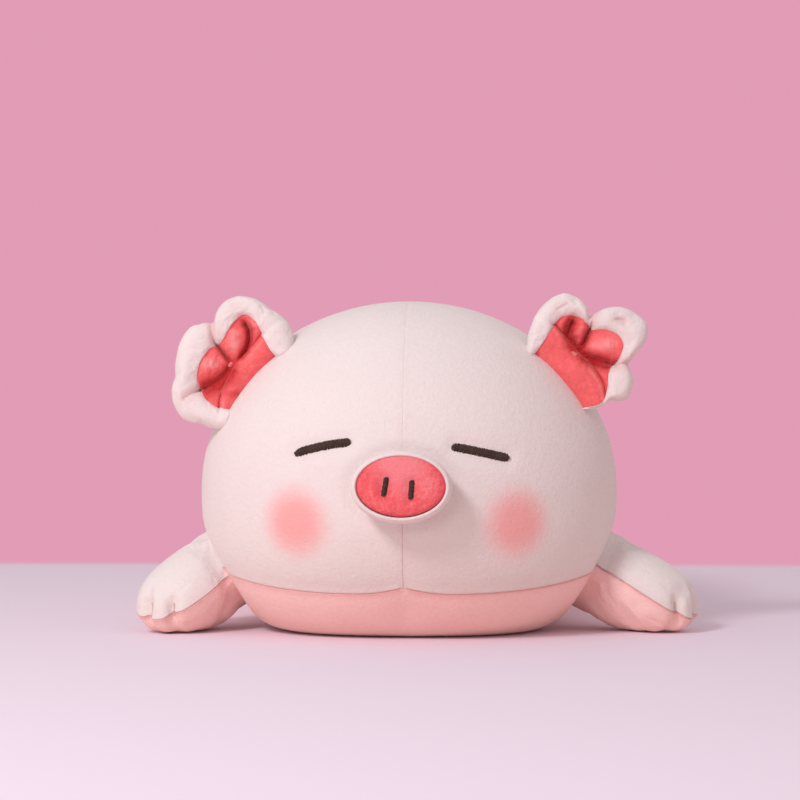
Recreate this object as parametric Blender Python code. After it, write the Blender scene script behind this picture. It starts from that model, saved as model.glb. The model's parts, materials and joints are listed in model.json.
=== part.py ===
"""Plush pig lying flat on its belly: sewn cloth panels over fibre fill, with soft legs, ears and a tail.

Metres, +Z up. The pig faces -Y, its own left side is +X, and it rests on the plane z = 0.
Every stuffed form starts as a sphere that a formula swells and tapers. Its skin is what lies
between that form and a smaller one, cut along the sewn seams into panels, with a fill inside.
"""

import math

import bmesh
import bpy
import numpy as np
from mathutils import Matrix, Vector
from mathutils.bvhtree import BVHTree

# Cloth, seams and seats
CLOTH = 0.0022
EAR_CLOTH = 0.0012
CLEARANCE = 0.0003
PRESSED_FLAT = 0.0005
FLOOR_SOFTNESS = 0.004
OVERRUN = 0.5

# Body, measured from its widest section, which is across the cheeks
BODY_WIDTH = 0.230
BODY_HEIGHT = 0.181
CHEEK_LEVEL = 0.077
FACE_DEPTH = 0.100
BACK_LENGTH = 0.258
BELLY_DEPTH = 0.088
FACE_POWER = 2.1
RUMP_POWER = 2.6
BELLY_POWER = 2.2
RUMP_NARROWING_SHARE = 0.10
RUMP_LOWERING_SHARE = 0.20

# Seam between the pale upper panels and the pink belly panel
SEAM_LEVEL_FRONT = 0.0265
SEAM_LEVEL_REAR = 0.062

# Snout
SNOUT_WIDTH = 0.0510
SNOUT_HEIGHT = 0.0365
SNOUT_LENGTH = 0.017
SNOUT_ROOT = 0.014
SNOUT_LEVEL = 0.0810
SNOUT_PITCH = math.radians(4)
SNOUT_RIM = 0.0030
SNOUT_DOME = 0.0022
SNOUT_RECESS = 0.0008

# Embroidery
EYE_LENGTH = 0.0300
EYE_BREADTH = 0.0048
EYE_ARCH = 0.0012
EYE_SPREAD = 0.0420
EYE_LEVEL_LEFT = 0.0990
EYE_LEVEL_RIGHT = 0.1012
EYE_SLANT = math.radians(12)
NOSTRIL_LENGTH = 0.0105
NOSTRIL_BREADTH = 0.0027
NOSTRIL_SPREAD = 0.0068
NOSTRIL_SLANT = math.radians(8)
TOE_STITCH_LENGTH = 0.0140
TOE_STITCH_BREADTH = 0.0016
TACK_LENGTH = 0.0060
TACK_BREADTH = 0.0020
STITCH_HEIGHT = 0.0014
STITCH_POWER = 4

# Ears: the reach is from the gathering tack out to the rim
EAR_AHEAD_OF_CHEEKS = 0.035
EAR_BEARING_LEFT = math.radians(38.5)
EAR_BEARING_RIGHT = math.radians(35)
EAR_LEAN_LEFT = math.radians(48)
EAR_LEAN_RIGHT = math.radians(39)
EAR_REACH = 0.0400
EAR_TACK_HEIGHT = 0.0120
EAR_THICKNESS = 0.0115
EAR_ROOT_RADIUS = 0.0030
EAR_ROOT_FOLLOW_SHARE = 0.85
EAR_PINCH_SHARE = 0.45
EAR_PINCH_SPREAD_SHARE = 0.30
EAR_LINING_SHARE = 0.62
EAR_LINING_ROOT_SHARE = 0.88

# Lobes of each ear's rim: a bearing round the tack in degrees, and the share of the reach there
LEFT_RIM_SHARES = (
    (-26, 0.70),
    (3, 0.77),
    (17, 0.98),
    (29, 0.96),
    (38, 0.78),
    (50, 0.94),
    (56, 1.07),
    (65, 1.12),
    (73, 1.02),
    (87, 0.88),
    (96, 0.75),
    (106, 0.58),
    (111, 0.50),
    (117, 0.64),
    (127, 0.74),
    (139, 0.84),
    (149, 0.83),
    (164, 0.77),
    (185, 0.68),
    (206, 0.63),
)
RIGHT_RIM_SHARES = (
    (-33, 0.82),
    (-4, 0.87),
    (12, 0.99),
    (23, 0.98),
    (33, 0.92),
    (42, 0.80),
    (60, 0.74),
    (79, 0.73),
    (95, 0.73),
    (109, 0.67),
    (119, 0.61),
    (125, 0.78),
    (133, 0.94),
    (141, 1.02),
    (150, 1.02),
    (165, 0.96),
    (183, 0.93),
    (214, 0.80),
)

# Legs: the lengths run from the body's skin out to the toes
LEG_ROOT = 0.030
LEG_WIDTH = 0.052
LEG_THICKNESS = 0.050
LEG_POWER = 2.6
LEG_TAPER_SHARE = 0.25
PAW_LIFT = 0.0006
TOE_BEARING = math.radians(17)
FORELEG_LENGTH = 0.060
FORELEG_BEHIND_CHEEKS = 0.004
FORELEG_BEARING_LEFT = math.radians(-26)
FORELEG_BEARING_RIGHT = math.radians(-53)
FORELEG_ROOT_LEVEL = 0.031
FORELEG_TOE_LEVEL = 0.015
HINDLEG_LENGTH = 0.062
HINDLEG_BEHIND_CHEEKS = 0.180
HINDLEG_BEARING = math.radians(48)
HINDLEG_ROOT_LEVEL = 0.033
HINDLEG_TOE_LEVEL = 0.015

# Tail: a thin stuffed tube in one open curl
TAIL_THICKNESS = 0.0100
TAIL_CURL_RADIUS = 0.0125
TAIL_STALK = 0.015
TAIL_PITCH = 0.014
TAIL_LEVEL = 0.100
TAIL_TURNS = 1.15
TAIL_POINTS = 24

# Fineness of the meshes
BODY_SEGMENTS = 36
BODY_RINGS = 22
BODY_FILL_SEGMENTS = 24
BODY_FILL_RINGS = 14
LEG_SEGMENTS = 20
LEG_RINGS = 12
LEG_FILL_SEGMENTS = 14
LEG_FILL_RINGS = 8
EAR_SEGMENTS = 36
EAR_RINGS = 10
EAR_FILL_SEGMENTS = 36
EAR_FILL_RINGS = 6
SNOUT_STEPS = 32
ROUNDING_STEPS = 4
STITCH_SEGMENTS = 8
STITCH_RINGS = 8

# Colours, as linear red, green and blue
PALE_PINK = (0.86, 0.72, 0.73)
BLUSH_PINK = (0.88, 0.50, 0.50)
CORAL = (0.90, 0.15, 0.17)
BROWN = (0.035, 0.018, 0.012)
WHITE = (0.85, 0.85, 0.83)
CLOTH_ROUGHNESS = 0.9
THREAD_ROUGHNESS = 0.6

UP = Vector((0, 0, 1))
FORWARD = Vector((0, -1, 0))
PARTS = "plush_pig"
GUIDES = "plush_pig_guides"


def clear_scene():
    for obj in list(bpy.data.objects):
        bpy.data.objects.remove(obj)


def make_collections():
    for name in (PARTS, GUIDES):
        bpy.context.scene.collection.children.link(bpy.data.collections.new(name))


def material(name, colour, roughness):
    """The named material, made the first time that a piece asks for it."""
    finish = bpy.data.materials.get(name)
    if finish is None:
        finish = bpy.data.materials.new(name)
        finish.use_nodes = True
        shader = finish.node_tree.nodes["Principled BSDF"]
        shader.inputs["Base Color"].default_value = (*colour, 1.0)
        shader.inputs["Roughness"].default_value = roughness
        shader.inputs["Metallic"].default_value = 0.0
    return finish


def pale_cloth():
    return material("pale_cloth", PALE_PINK, CLOTH_ROUGHNESS)


def blush_cloth():
    return material("blush_cloth", BLUSH_PINK, CLOTH_ROUGHNESS)


def coral_cloth():
    return material("coral_cloth", CORAL, CLOTH_ROUGHNESS)


def brown_thread():
    return material("brown_thread", BROWN, THREAD_ROUGHNESS)


def coral_thread():
    return material("coral_thread", CORAL, THREAD_ROUGHNESS)


def white_fibre():
    return material("white_fibre", WHITE, CLOTH_ROUGHNESS)


def add_piece(name, bm, finish, carrier):
    """Makes a named piece from bm, which is in the pig's frame, and hangs it on its carrier."""
    mesh = bpy.data.meshes.new(name)
    bm.to_mesh(mesh)
    bm.free()
    mesh.shade_smooth()
    mesh.materials.append(finish)
    obj = bpy.data.objects.new(name, mesh)
    bpy.data.collections[PARTS].objects.link(obj)
    obj.parent = carrier
    if carrier.parent:
        mesh.transform(Matrix.Translation(-carrier.location))
    return obj


def add_guide(name, bm, root):
    """Makes a cutter that no render shows."""
    mesh = bpy.data.meshes.new(name)
    bm.to_mesh(mesh)
    bm.free()
    obj = bpy.data.objects.new(name, mesh)
    bpy.data.collections[GUIDES].objects.link(obj)
    obj.hide_render = True
    obj.display_type = "WIRE"
    obj.parent = root
    return obj


def add_empty(name, place, parent=None):
    """An empty, which stands on a joint's axis where it carries moving pieces."""
    empty = bpy.data.objects.new(name, None)
    bpy.data.collections[PARTS].objects.link(empty)
    empty.parent = parent
    empty.location = place
    return empty


def cut(obj, operation, guide):
    """Adds a Boolean: INTERSECT keeps what is inside the guide, DIFFERENCE what is outside."""
    boolean = obj.modifiers.new(guide.name, "BOOLEAN")
    boolean.operation = operation
    boolean.solver = "EXACT"
    boolean.object = guide


def signed_power(value, power):
    return math.copysign(abs(value) ** power, value)


def pressed(z, floor):
    """Presses a height against the floor, with a soft turn where the cloth leaves it."""
    return floor + FLOOR_SOFTNESS * math.log1p(math.exp((z - floor) / FLOOR_SOFTNESS))


def stuffed_form(shape, segments, rings):
    """A closed mesh: a sphere with its poles on Z, whose points shape() moves.

    Its squares are all split the same way, so that forms one inside the other stay parallel.
    """
    bm = bmesh.new()
    half_step = Matrix.Rotation(math.pi / segments, 4, "Z")
    bmesh.ops.create_uvsphere(bm, u_segments=segments, v_segments=rings, radius=1, matrix=half_step)
    for vert in bm.verts:
        vert.co = shape(vert.co.copy())
    if bm.calc_volume(signed=True) < 0:
        bmesh.ops.reverse_faces(bm, faces=bm.faces[:])
    bmesh.ops.triangulate(bm, faces=bm.faces[:], quad_method="FIXED")
    return bm


def block(low, high, place):
    """A box between two corners, in the frame that the matrix place gives."""
    bm = bmesh.new()
    bmesh.ops.create_cube(bm, size=1)
    middle = (Vector(low) + Vector(high)) / 2
    size = Vector(high) - Vector(low)
    for vert in bm.verts:
        vert.co = place @ (middle + vert.co * size)
    return bm


def turned(profile, place):
    """A closed profile of (radius, depth) pairs spun round its axis, with the snout's oval outline."""
    bm = bmesh.new()
    verts = [bm.verts.new((radius, -depth, 0)) for radius, depth in profile]
    edges = [bm.edges.new(pair) for pair in zip(verts, verts[1:] + verts[:1])]
    bmesh.ops.spin(
        bm,
        geom=verts + edges,
        cent=(0, 0, 0),
        axis=(0, 1, 0),
        angle=math.tau,
        steps=SNOUT_STEPS,
        use_merge=True,
    )
    bmesh.ops.remove_doubles(bm, verts=bm.verts[:], dist=CLEARANCE / 10)
    on_axis = [edge for edge in bm.edges if not edge.link_faces]
    bmesh.ops.delete(bm, geom=on_axis, context="EDGES")
    oval = Matrix.Diagonal((SNOUT_WIDTH / 2, 1, SNOUT_HEIGHT / 2, 1))
    bm.transform(place @ oval)
    bmesh.ops.recalc_face_normals(bm, faces=bm.faces[:])
    return bm


def stitch(surface, centre, facing, lengthwise, length, breadth, arch=0):
    """A bar of satin stitch, laid on a surface that is looked at against facing."""
    crosswise = facing.cross(lengthwise)

    def on_surface(point):
        along = signed_power(point.z, 2 / STITCH_POWER)
        ring = math.hypot(point.x, point.y) or 1
        girth_share = max(0.0, 1 - point.z**2) ** (1 / STITCH_POWER)
        sideways = breadth / 2 * girth_share * point.x / ring + arch * (1 - along**2)
        start = centre + lengthwise * (length / 2 * along) + crosswise * sideways
        place, normal, _, _ = surface.ray_cast(start + facing * OVERRUN, -facing)
        return place + normal * (CLEARANCE + STITCH_HEIGHT * (1 + girth_share * point.y / ring) / 2)

    return stuffed_form(on_surface, STITCH_SEGMENTS, STITCH_RINGS)


def body_shape(inset):
    """The body's form: blunt at both ends, pressed on the floor, narrower and lower at the rump."""

    def place(point):
        behind = point.z > 0
        power = RUMP_POWER if behind else FACE_POWER
        reach = (BACK_LENGTH if behind else FACE_DEPTH) - inset
        y = reach * signed_power(point.z, 2 / power)
        girth_share = max(0.0, 1 - point.z**2) ** (1 / power)
        ring = math.hypot(point.x, point.y) or 1
        taper = max(0.0, y / reach) ** 2
        half_width = (BODY_WIDTH / 2 - inset) * (1 - RUMP_NARROWING_SHARE * taper)
        if point.y > 0:
            round_power = 2
            height = (BODY_HEIGHT - CHEEK_LEVEL - inset) * (1 - RUMP_LOWERING_SHARE * taper)
        else:
            round_power = BELLY_POWER
            height = BELLY_DEPTH - inset
        x = half_width * girth_share * signed_power(point.x / ring, 2 / round_power)
        z = CHEEK_LEVEL + height * girth_share * signed_power(point.y / ring, 2 / round_power)
        return Vector((x, y, pressed(z, inset - PRESSED_FLAT)))

    return place


def leg_shape(leg, inset):
    """A leg's form along its centre line, which sinks from the root's level to the toes'."""

    def place(point):
        half_length = (LEG_ROOT + leg["length"]) / 2 - inset
        middle = (leg["length"] - LEG_ROOT) / 2
        along = middle + half_length * signed_power(point.z, 2 / LEG_POWER)
        girth_share = max(0.0, 1 - point.z**2) ** (1 / LEG_POWER)
        ring = math.hypot(point.x, point.y) or 1
        share = max(0.0, along / leg["length"])
        taper = 1 - LEG_TAPER_SHARE * share
        sideways = (LEG_WIDTH / 2 - inset) * girth_share * point.x / ring
        height = (LEG_THICKNESS / 2 * taper - inset) * girth_share * point.y / ring
        level = leg["root_level"] + (leg["toe_level"] - leg["root_level"]) * share
        flat = leg["root"] + leg["outward"] * along + leg["across"] * sideways
        return Vector((flat.x, flat.y, pressed(level + height, PAW_LIFT + inset)))

    return place


def ear_reach(ear, bearing):
    """How far the rim is from the tack: notches part its lobes, and the root is straight."""
    bearings, shares = zip(*ear["rim"])
    reach = EAR_REACH * float(np.interp(math.degrees(bearing), bearings, shares, period=360))
    if math.sin(bearing) < 0:
        reach = min(reach, EAR_TACK_HEIGHT / -math.sin(bearing))
    return reach


def ear_place(ear, sideways, outward, forward):
    """A place in the ear's own frame, whose root follows the head's curve."""
    line = ear["origin"] + ear["sideways"] * sideways
    start = line + ear["outward"] * EAR_REACH
    fall = ear["head"].ray_cast(start, -ear["outward"])[3] - ear["fall"]
    rise = outward - EAR_ROOT_FOLLOW_SHARE * fall
    return line + ear["outward"] * rise + FORWARD * forward


def ear_shape(ear, inset):
    """An ear's form: a flat cushion with a lobed rim, drawn in at the tack."""

    def place(point):
        bearing = math.atan2(point.y, point.x)
        share = min(1.0, math.hypot(point.x, point.y))
        reach = (ear_reach(ear, bearing) - inset) * share
        pinch = EAR_PINCH_SHARE * math.exp(-((share / EAR_PINCH_SPREAD_SHARE) ** 2))
        swell = (EAR_THICKNESS / 2 * (1 - pinch) - inset) * point.z
        sideways = reach * math.cos(bearing)
        outward = EAR_TACK_HEIGHT + reach * math.sin(bearing)
        return ear_place(ear, sideways, outward, swell)

    return place


def lining_prism(ear, grow):
    """The outline of an ear's lining, from the ear's middle plane to in front of it."""
    bm = bmesh.new()
    ring = bmesh.ops.create_circle(bm, cap_ends=True, segments=EAR_SEGMENTS, radius=1)["verts"]
    for vert in ring:
        bearing = math.atan2(vert.co.y, vert.co.x)
        rootward = max(0.0, -math.sin(bearing)) ** 2
        share = EAR_LINING_SHARE + (EAR_LINING_ROOT_SHARE - EAR_LINING_SHARE) * rootward
        reach = ear_reach(ear, bearing) * share + grow
        outward = EAR_TACK_HEIGHT + reach * math.sin(bearing)
        vert.co = ear_place(ear, reach * math.cos(bearing), outward, 0)
    outline = bmesh.ops.extrude_face_region(bm, geom=bm.faces[:])["geom"]
    moved = [item for item in outline if isinstance(item, bmesh.types.BMVert)]
    bmesh.ops.translate(bm, verts=moved, vec=FORWARD * EAR_THICKNESS)
    bmesh.ops.recalc_face_normals(bm, faces=bm.faces[:])
    return bm


def make_body(root):
    """The three panels and the fill. Returns the guide that cuts what is sewn to the body."""
    inner = stuffed_form(body_shape(CLOTH), BODY_FILL_SEGMENTS, BODY_FILL_RINGS)
    hollow = add_guide("body_hollow", inner, root)
    around = stuffed_form(body_shape(-CLEARANCE), BODY_SEGMENTS, BODY_RINGS)
    cutter = add_guide("body_cutter", around, root)
    slope = math.atan2(SEAM_LEVEL_REAR - SEAM_LEVEL_FRONT, BACK_LENGTH + FACE_DEPTH)
    front = Vector((0, -FACE_DEPTH, SEAM_LEVEL_FRONT))
    seam = Matrix.Translation(front) @ Matrix.Rotation(slope, 4, "X")
    far = OVERRUN
    near = CLEARANCE / 2
    level = Matrix.Identity(4)
    floor = add_guide("floor", block((-far, -far, -far), (far, far, 0), level), root)
    panels = (
        ("upper_cover_left", pale_cloth(), (near, -far, near), (far, far, far)),
        ("upper_cover_right", pale_cloth(), (-far, -far, near), (-near, far, far)),
        ("belly_panel", blush_cloth(), (-far, -far, -far), (far, far, -near)),
    )
    for name, finish, low, high in panels:
        skin = stuffed_form(body_shape(0), BODY_SEGMENTS, BODY_RINGS)
        panel = add_piece(name, skin, finish, root)
        cut(panel, "INTERSECT", add_guide(name + "_region", block(low, high, seam), root))
        cut(panel, "DIFFERENCE", hollow)
        if name == "belly_panel":
            cut(panel, "DIFFERENCE", floor)
    fill = stuffed_form(body_shape(CLOTH + CLEARANCE), BODY_FILL_SEGMENTS, BODY_FILL_RINGS)
    add_piece("body_fill", fill, white_fibre(), root)
    return cutter


def snout_face_profile(radius, front, thickness):
    """A domed disc, as (radius, depth) pairs from its middle in front to its middle behind."""
    steps = range(ROUNDING_STEPS + 1)
    dome = [(radius * i / ROUNDING_STEPS, SNOUT_DOME * (1 - (i / ROUNDING_STEPS) ** 2)) for i in steps]
    return [(r, front + d) for r, d in dome] + [(r, front + d - thickness) for r, d in reversed(dome)]


def make_snout(root, cutter):
    """The gusset, the disc in front of it, the fill behind the disc and the nostrils on it."""
    tip = Vector((0, -FACE_DEPTH, SNOUT_LEVEL))
    place = Matrix.Translation(tip) @ Matrix.Rotation(-SNOUT_PITCH, 4, "X")
    rim = SNOUT_RIM / (SNOUT_WIDTH / 2)
    gap = CLEARANCE / (SNOUT_HEIGHT / 2)
    rounding = [(1, -SNOUT_ROOT)]
    for step in range(ROUNDING_STEPS + 1):
        angle = math.pi * step / ROUNDING_STEPS
        depth = SNOUT_LENGTH - SNOUT_RIM / 2 * (1 - math.sin(angle))
        rounding.append((1 - rim / 2 * (1 - math.cos(angle)), depth))
    rounding.append((1 - rim, -SNOUT_ROOT))
    wall = add_piece("snout_wall", turned(rounding, place), pale_cloth(), root)
    cut(wall, "DIFFERENCE", cutter)
    disc = 1 - rim - gap
    front = SNOUT_LENGTH - SNOUT_RECESS
    face = turned(snout_face_profile(disc, front, CLOTH), place)
    surface = BVHTree.FromBMesh(face)
    add_piece("snout_face", face, coral_cloth(), root)
    behind = front - CLOTH - CLEARANCE
    deep = [(0, -SNOUT_ROOT), (disc, -SNOUT_ROOT)]
    cushion = snout_face_profile(disc, behind, CLOTH)[: ROUNDING_STEPS + 1] + deep[::-1]
    fill = add_piece("snout_fill", turned(cushion, place), white_fibre(), root)
    cut(fill, "DIFFERENCE", cutter)
    for side, name in ((1, "left"), (-1, "right")):
        lengthwise = Matrix.Rotation(-side * NOSTRIL_SLANT, 3, "Y") @ UP
        centre = tip + Vector((side * NOSTRIL_SPREAD, 0, 0))
        bar = stitch(surface, centre, FORWARD, lengthwise, NOSTRIL_LENGTH, NOSTRIL_BREADTH)
        add_piece("nostril_" + name, bar, brown_thread(), root)


def make_eyes(root, skin):
    for side, name, level in ((1, "left", EYE_LEVEL_LEFT), (-1, "right", EYE_LEVEL_RIGHT)):
        lengthwise = Vector((math.cos(EYE_SLANT), 0, -side * math.sin(EYE_SLANT)))
        centre = Vector((side * EYE_SPREAD, 0, level))
        bar = stitch(skin, centre, FORWARD, lengthwise, EYE_LENGTH, EYE_BREADTH, EYE_ARCH)
        add_piece("eye_" + name, bar, brown_thread(), root)


def make_ear(root, skin, side, name, bearing, lean, rim):
    """An ear on its hinge, which lies along the root where the root is nearest the head."""
    inside = Vector((0, -EAR_AHEAD_OF_CHEEKS, CHEEK_LEVEL))
    towards = Vector((side * math.cos(bearing), 0, math.sin(bearing)))
    seat, normal, _, _ = skin.ray_cast(inside, towards)
    outward = Vector((side * math.cos(lean), 0, math.sin(lean)))
    hinge = seat + normal * (EAR_ROOT_RADIUS + CLEARANCE)
    ear = {
        "head": skin,
        "rim": rim,
        "outward": outward,
        "sideways": Vector((side * math.sin(lean), 0, -math.cos(lean))),
        "origin": hinge - outward * EAR_ROOT_RADIUS,
    }
    ear["fall"] = skin.ray_cast(ear["origin"] + outward * EAR_REACH, -outward)[3]
    pivot = add_empty(name + "_hinge", hinge, root)
    hollow = stuffed_form(ear_shape(ear, EAR_CLOTH), EAR_FILL_SEGMENTS, EAR_FILL_RINGS)
    hollow = add_guide(name + "_hollow", hollow, root)
    cover = stuffed_form(ear_shape(ear, 0), EAR_SEGMENTS, EAR_RINGS)
    surface = BVHTree.FromBMesh(cover)
    lining = cover.copy()
    cover = add_piece(name + "_cover", cover, pale_cloth(), pivot)
    cut(cover, "DIFFERENCE", add_guide(name + "_opening", lining_prism(ear, CLEARANCE), root))
    cut(cover, "DIFFERENCE", hollow)
    lining = add_piece(name + "_lining", lining, coral_cloth(), pivot)
    cut(lining, "INTERSECT", add_guide(name + "_lining_region", lining_prism(ear, 0), root))
    cut(lining, "DIFFERENCE", hollow)
    wadding = stuffed_form(ear_shape(ear, EAR_CLOTH + CLEARANCE), EAR_FILL_SEGMENTS, EAR_FILL_RINGS)
    add_piece(name + "_wadding", wadding, white_fibre(), pivot)
    tack = ear_place(ear, 0, EAR_TACK_HEIGHT, 0)
    bar = stitch(surface, tack, FORWARD, outward, TACK_LENGTH, TACK_BREADTH)
    add_piece(name + "_tack", bar, coral_thread(), pivot)


def make_leg(root, skin, cutter, name, side, station, bearing, length, root_level, toe_level):
    """A leg whose root is cut to the body's curve, hinged along the top of its root."""
    outward = Vector((side * math.cos(bearing), math.sin(bearing), 0))
    seat = skin.ray_cast(Vector((0, station, root_level)), Vector((side, 0, 0)))[0]
    leg = {
        "root": seat,
        "outward": outward,
        "across": UP.cross(outward),
        "length": length,
        "root_level": root_level,
        "toe_level": toe_level,
    }
    outer = stuffed_form(leg_shape(leg, 0), LEG_SEGMENTS, LEG_RINGS)
    surface = BVHTree.FromBMesh(outer)
    top = surface.ray_cast(seat + UP * OVERRUN, -UP)[0]
    inside = Vector((0, station, top.z))
    hinge = skin.ray_cast(inside, Vector((side, 0, 0)))[0]
    pivot = add_empty(name + "_hinge", hinge, root)
    hollow = stuffed_form(leg_shape(leg, CLOTH), LEG_FILL_SEGMENTS, LEG_FILL_RINGS)
    hollow = add_guide(name + "_hollow", hollow, root)
    slope = math.atan2(toe_level - root_level, length)
    turn = Matrix((outward, leg["across"], UP)).transposed() @ Matrix.Rotation(-slope, 3, "Y")
    seam = Matrix.Translation(seat) @ turn.to_4x4()
    far = OVERRUN
    near = CLEARANCE / 2
    panels = (
        ("_upper", pale_cloth(), (-far, -far, near), (far, far, far)),
        ("_lower", blush_cloth(), (-far, -far, -far), (far, far, -near)),
    )
    for part, finish, low, high in panels:
        panel = add_piece(name + part, outer.copy(), finish, pivot)
        region = add_guide(name + part + "_region", block(low, high, seam), root)
        cut(panel, "INTERSECT", region)
        cut(panel, "DIFFERENCE", hollow)
        cut(panel, "DIFFERENCE", cutter)
    outer.free()
    fill = stuffed_form(leg_shape(leg, CLOTH + CLEARANCE), LEG_FILL_SEGMENTS, LEG_FILL_RINGS)
    fill = add_piece(name + "_fill", fill, white_fibre(), pivot)
    cut(fill, "DIFFERENCE", cutter)
    paw = seat + outward * (length / 2) + UP * (toe_level - root_level)
    for turn, part in ((-side, "_toe_stitch_front"), (side, "_toe_stitch_rear")):
        facing = Matrix.Rotation(turn * TOE_BEARING, 3, "Z") @ outward
        centre = paw + UP * (TOE_STITCH_LENGTH / 2)
        bar = stitch(surface, centre, facing, UP, TOE_STITCH_LENGTH, TOE_STITCH_BREADTH)
        add_piece(name + part, bar, coral_thread(), pivot)


def make_tail(root, skin):
    """A curl of tube whose round root end turns about the hinge without touching the rump."""
    rump, normal, _, _ = skin.ray_cast(Vector((0, 0, TAIL_LEVEL)), -FORWARD)
    radius = TAIL_THICKNESS / 2
    hinge = rump + normal * (radius + CLEARANCE)
    pivot = add_empty("tail_hinge", hinge, root)
    route = []
    for step in range(ROUNDING_STEPS):
        angle = math.pi / 2 * (step + 0.5) / ROUNDING_STEPS
        route.append((Vector((0, -radius * math.cos(angle), 0)), math.sin(angle)))
    curl = TAIL_TURNS * math.tau
    for step in range(TAIL_POINTS):
        share = step / (TAIL_POINTS - 1)
        angle = curl * share
        x = TAIL_PITCH * TAIL_TURNS * share
        y = TAIL_STALK + TAIL_CURL_RADIUS * math.sin(angle)
        z = TAIL_CURL_RADIUS * (1 - math.cos(angle))
        route.append((Vector((x, y, z)), 1 - share / 3))
    curve = bpy.data.curves.new("tail", "CURVE")
    curve.dimensions = "3D"
    curve.bevel_depth = radius
    curve.bevel_resolution = 2
    curve.use_fill_caps = True
    spline = curve.splines.new("POLY")
    spline.points.add(len(route) - 1)
    for point, (place, share) in zip(spline.points, route):
        point.co = (*place, 1)
        point.radius = share
    curve.materials.append(pale_cloth())
    tail = bpy.data.objects.new("tail", curve)
    bpy.data.collections[PARTS].objects.link(tail)
    tail.parent = pivot


def centre_on_origin(root):
    """Moves the root so that the origin lies under the middle of the whole pig."""
    bpy.context.view_layer.update()
    graph = bpy.context.evaluated_depsgraph_get()
    corners = []
    for obj in bpy.data.collections[PARTS].objects:
        if obj.type == "EMPTY":
            continue
        shape = obj.evaluated_get(graph)
        corners += [shape.matrix_world @ vert.co for vert in shape.to_mesh().vertices]
        shape.to_mesh_clear()
    for axis in (0, 1):
        places = [corner[axis] for corner in corners]
        root.location[axis] = -(min(places) + max(places)) / 2


def main():
    clear_scene()
    make_collections()
    root = add_empty("pig_origin", (0, 0, 0))
    skin_mesh = stuffed_form(body_shape(0), BODY_SEGMENTS, BODY_RINGS)
    skin = BVHTree.FromBMesh(skin_mesh)
    skin_mesh.free()
    cutter = make_body(root)
    make_snout(root, cutter)
    make_eyes(root, skin)
    make_ear(root, skin, 1, "ear_left", EAR_BEARING_LEFT, EAR_LEAN_LEFT, LEFT_RIM_SHARES)
    make_ear(root, skin, -1, "ear_right", EAR_BEARING_RIGHT, EAR_LEAN_RIGHT, RIGHT_RIM_SHARES)
    fore = (FORELEG_LENGTH, FORELEG_ROOT_LEVEL, FORELEG_TOE_LEVEL)
    hind = (HINDLEG_LENGTH, HINDLEG_ROOT_LEVEL, HINDLEG_TOE_LEVEL)
    ahead = FORELEG_BEHIND_CHEEKS
    behind = HINDLEG_BEHIND_CHEEKS
    make_leg(root, skin, cutter, "foreleg_left", 1, ahead, FORELEG_BEARING_LEFT, *fore)
    make_leg(root, skin, cutter, "foreleg_right", -1, ahead, FORELEG_BEARING_RIGHT, *fore)
    make_leg(root, skin, cutter, "hindleg_left", 1, behind, HINDLEG_BEARING, *hind)
    make_leg(root, skin, cutter, "hindleg_right", -1, behind, HINDLEG_BEARING, *hind)
    make_tail(root, skin)
    centre_on_origin(root)


main()
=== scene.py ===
"""Plush pig: sews, stuffs and embroiders the soft pieces that dress the packed model.

It also sets the stage. Metres, +Z up. The pig faces -Y and its own left side is +X. The body, the
legs and the ears start as closed forms of the packed part's shape, are filled by a short cloth
simulation that their seams hold back, and are then cut along the seams into panels whose edges roll
inwards, as sewn and turned cloth does. The snout and the tail are spun and swept in their full shape.
"""

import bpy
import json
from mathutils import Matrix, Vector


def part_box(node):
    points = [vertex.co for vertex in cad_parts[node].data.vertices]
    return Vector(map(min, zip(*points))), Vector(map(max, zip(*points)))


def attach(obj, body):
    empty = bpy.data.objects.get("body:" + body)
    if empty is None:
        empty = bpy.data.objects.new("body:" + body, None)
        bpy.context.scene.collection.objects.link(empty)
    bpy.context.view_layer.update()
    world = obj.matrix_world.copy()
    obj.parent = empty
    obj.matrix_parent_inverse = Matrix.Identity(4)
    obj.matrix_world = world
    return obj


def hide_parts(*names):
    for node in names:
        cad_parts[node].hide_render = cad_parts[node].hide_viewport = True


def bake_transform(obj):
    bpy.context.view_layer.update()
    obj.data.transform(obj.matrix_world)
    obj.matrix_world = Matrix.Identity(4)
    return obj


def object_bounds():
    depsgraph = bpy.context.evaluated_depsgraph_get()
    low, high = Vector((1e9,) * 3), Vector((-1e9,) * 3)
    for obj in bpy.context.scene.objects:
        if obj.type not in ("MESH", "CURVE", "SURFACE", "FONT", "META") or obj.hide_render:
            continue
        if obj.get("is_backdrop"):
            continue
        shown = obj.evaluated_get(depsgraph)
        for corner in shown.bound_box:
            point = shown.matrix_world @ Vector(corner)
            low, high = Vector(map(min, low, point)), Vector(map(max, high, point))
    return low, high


bl_info = {
    "name": "Plush pig",
    "version": (1, 0, 0),
    "blender": (4, 5, 0),
    "location": "3D View > Sidebar > Plush pig",
    "description": "Sews, stuffs and embroiders a soft toy pig round its packed model",
    "category": "Add Mesh",
}

import json
import math
from collections import namedtuple

import bmesh
import bpy
import numpy as np
from bpy.props import FloatProperty, FloatVectorProperty, PointerProperty
from mathutils import Matrix, Vector
from mathutils.bvhtree import BVHTree
from mathutils.kdtree import KDTree

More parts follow.
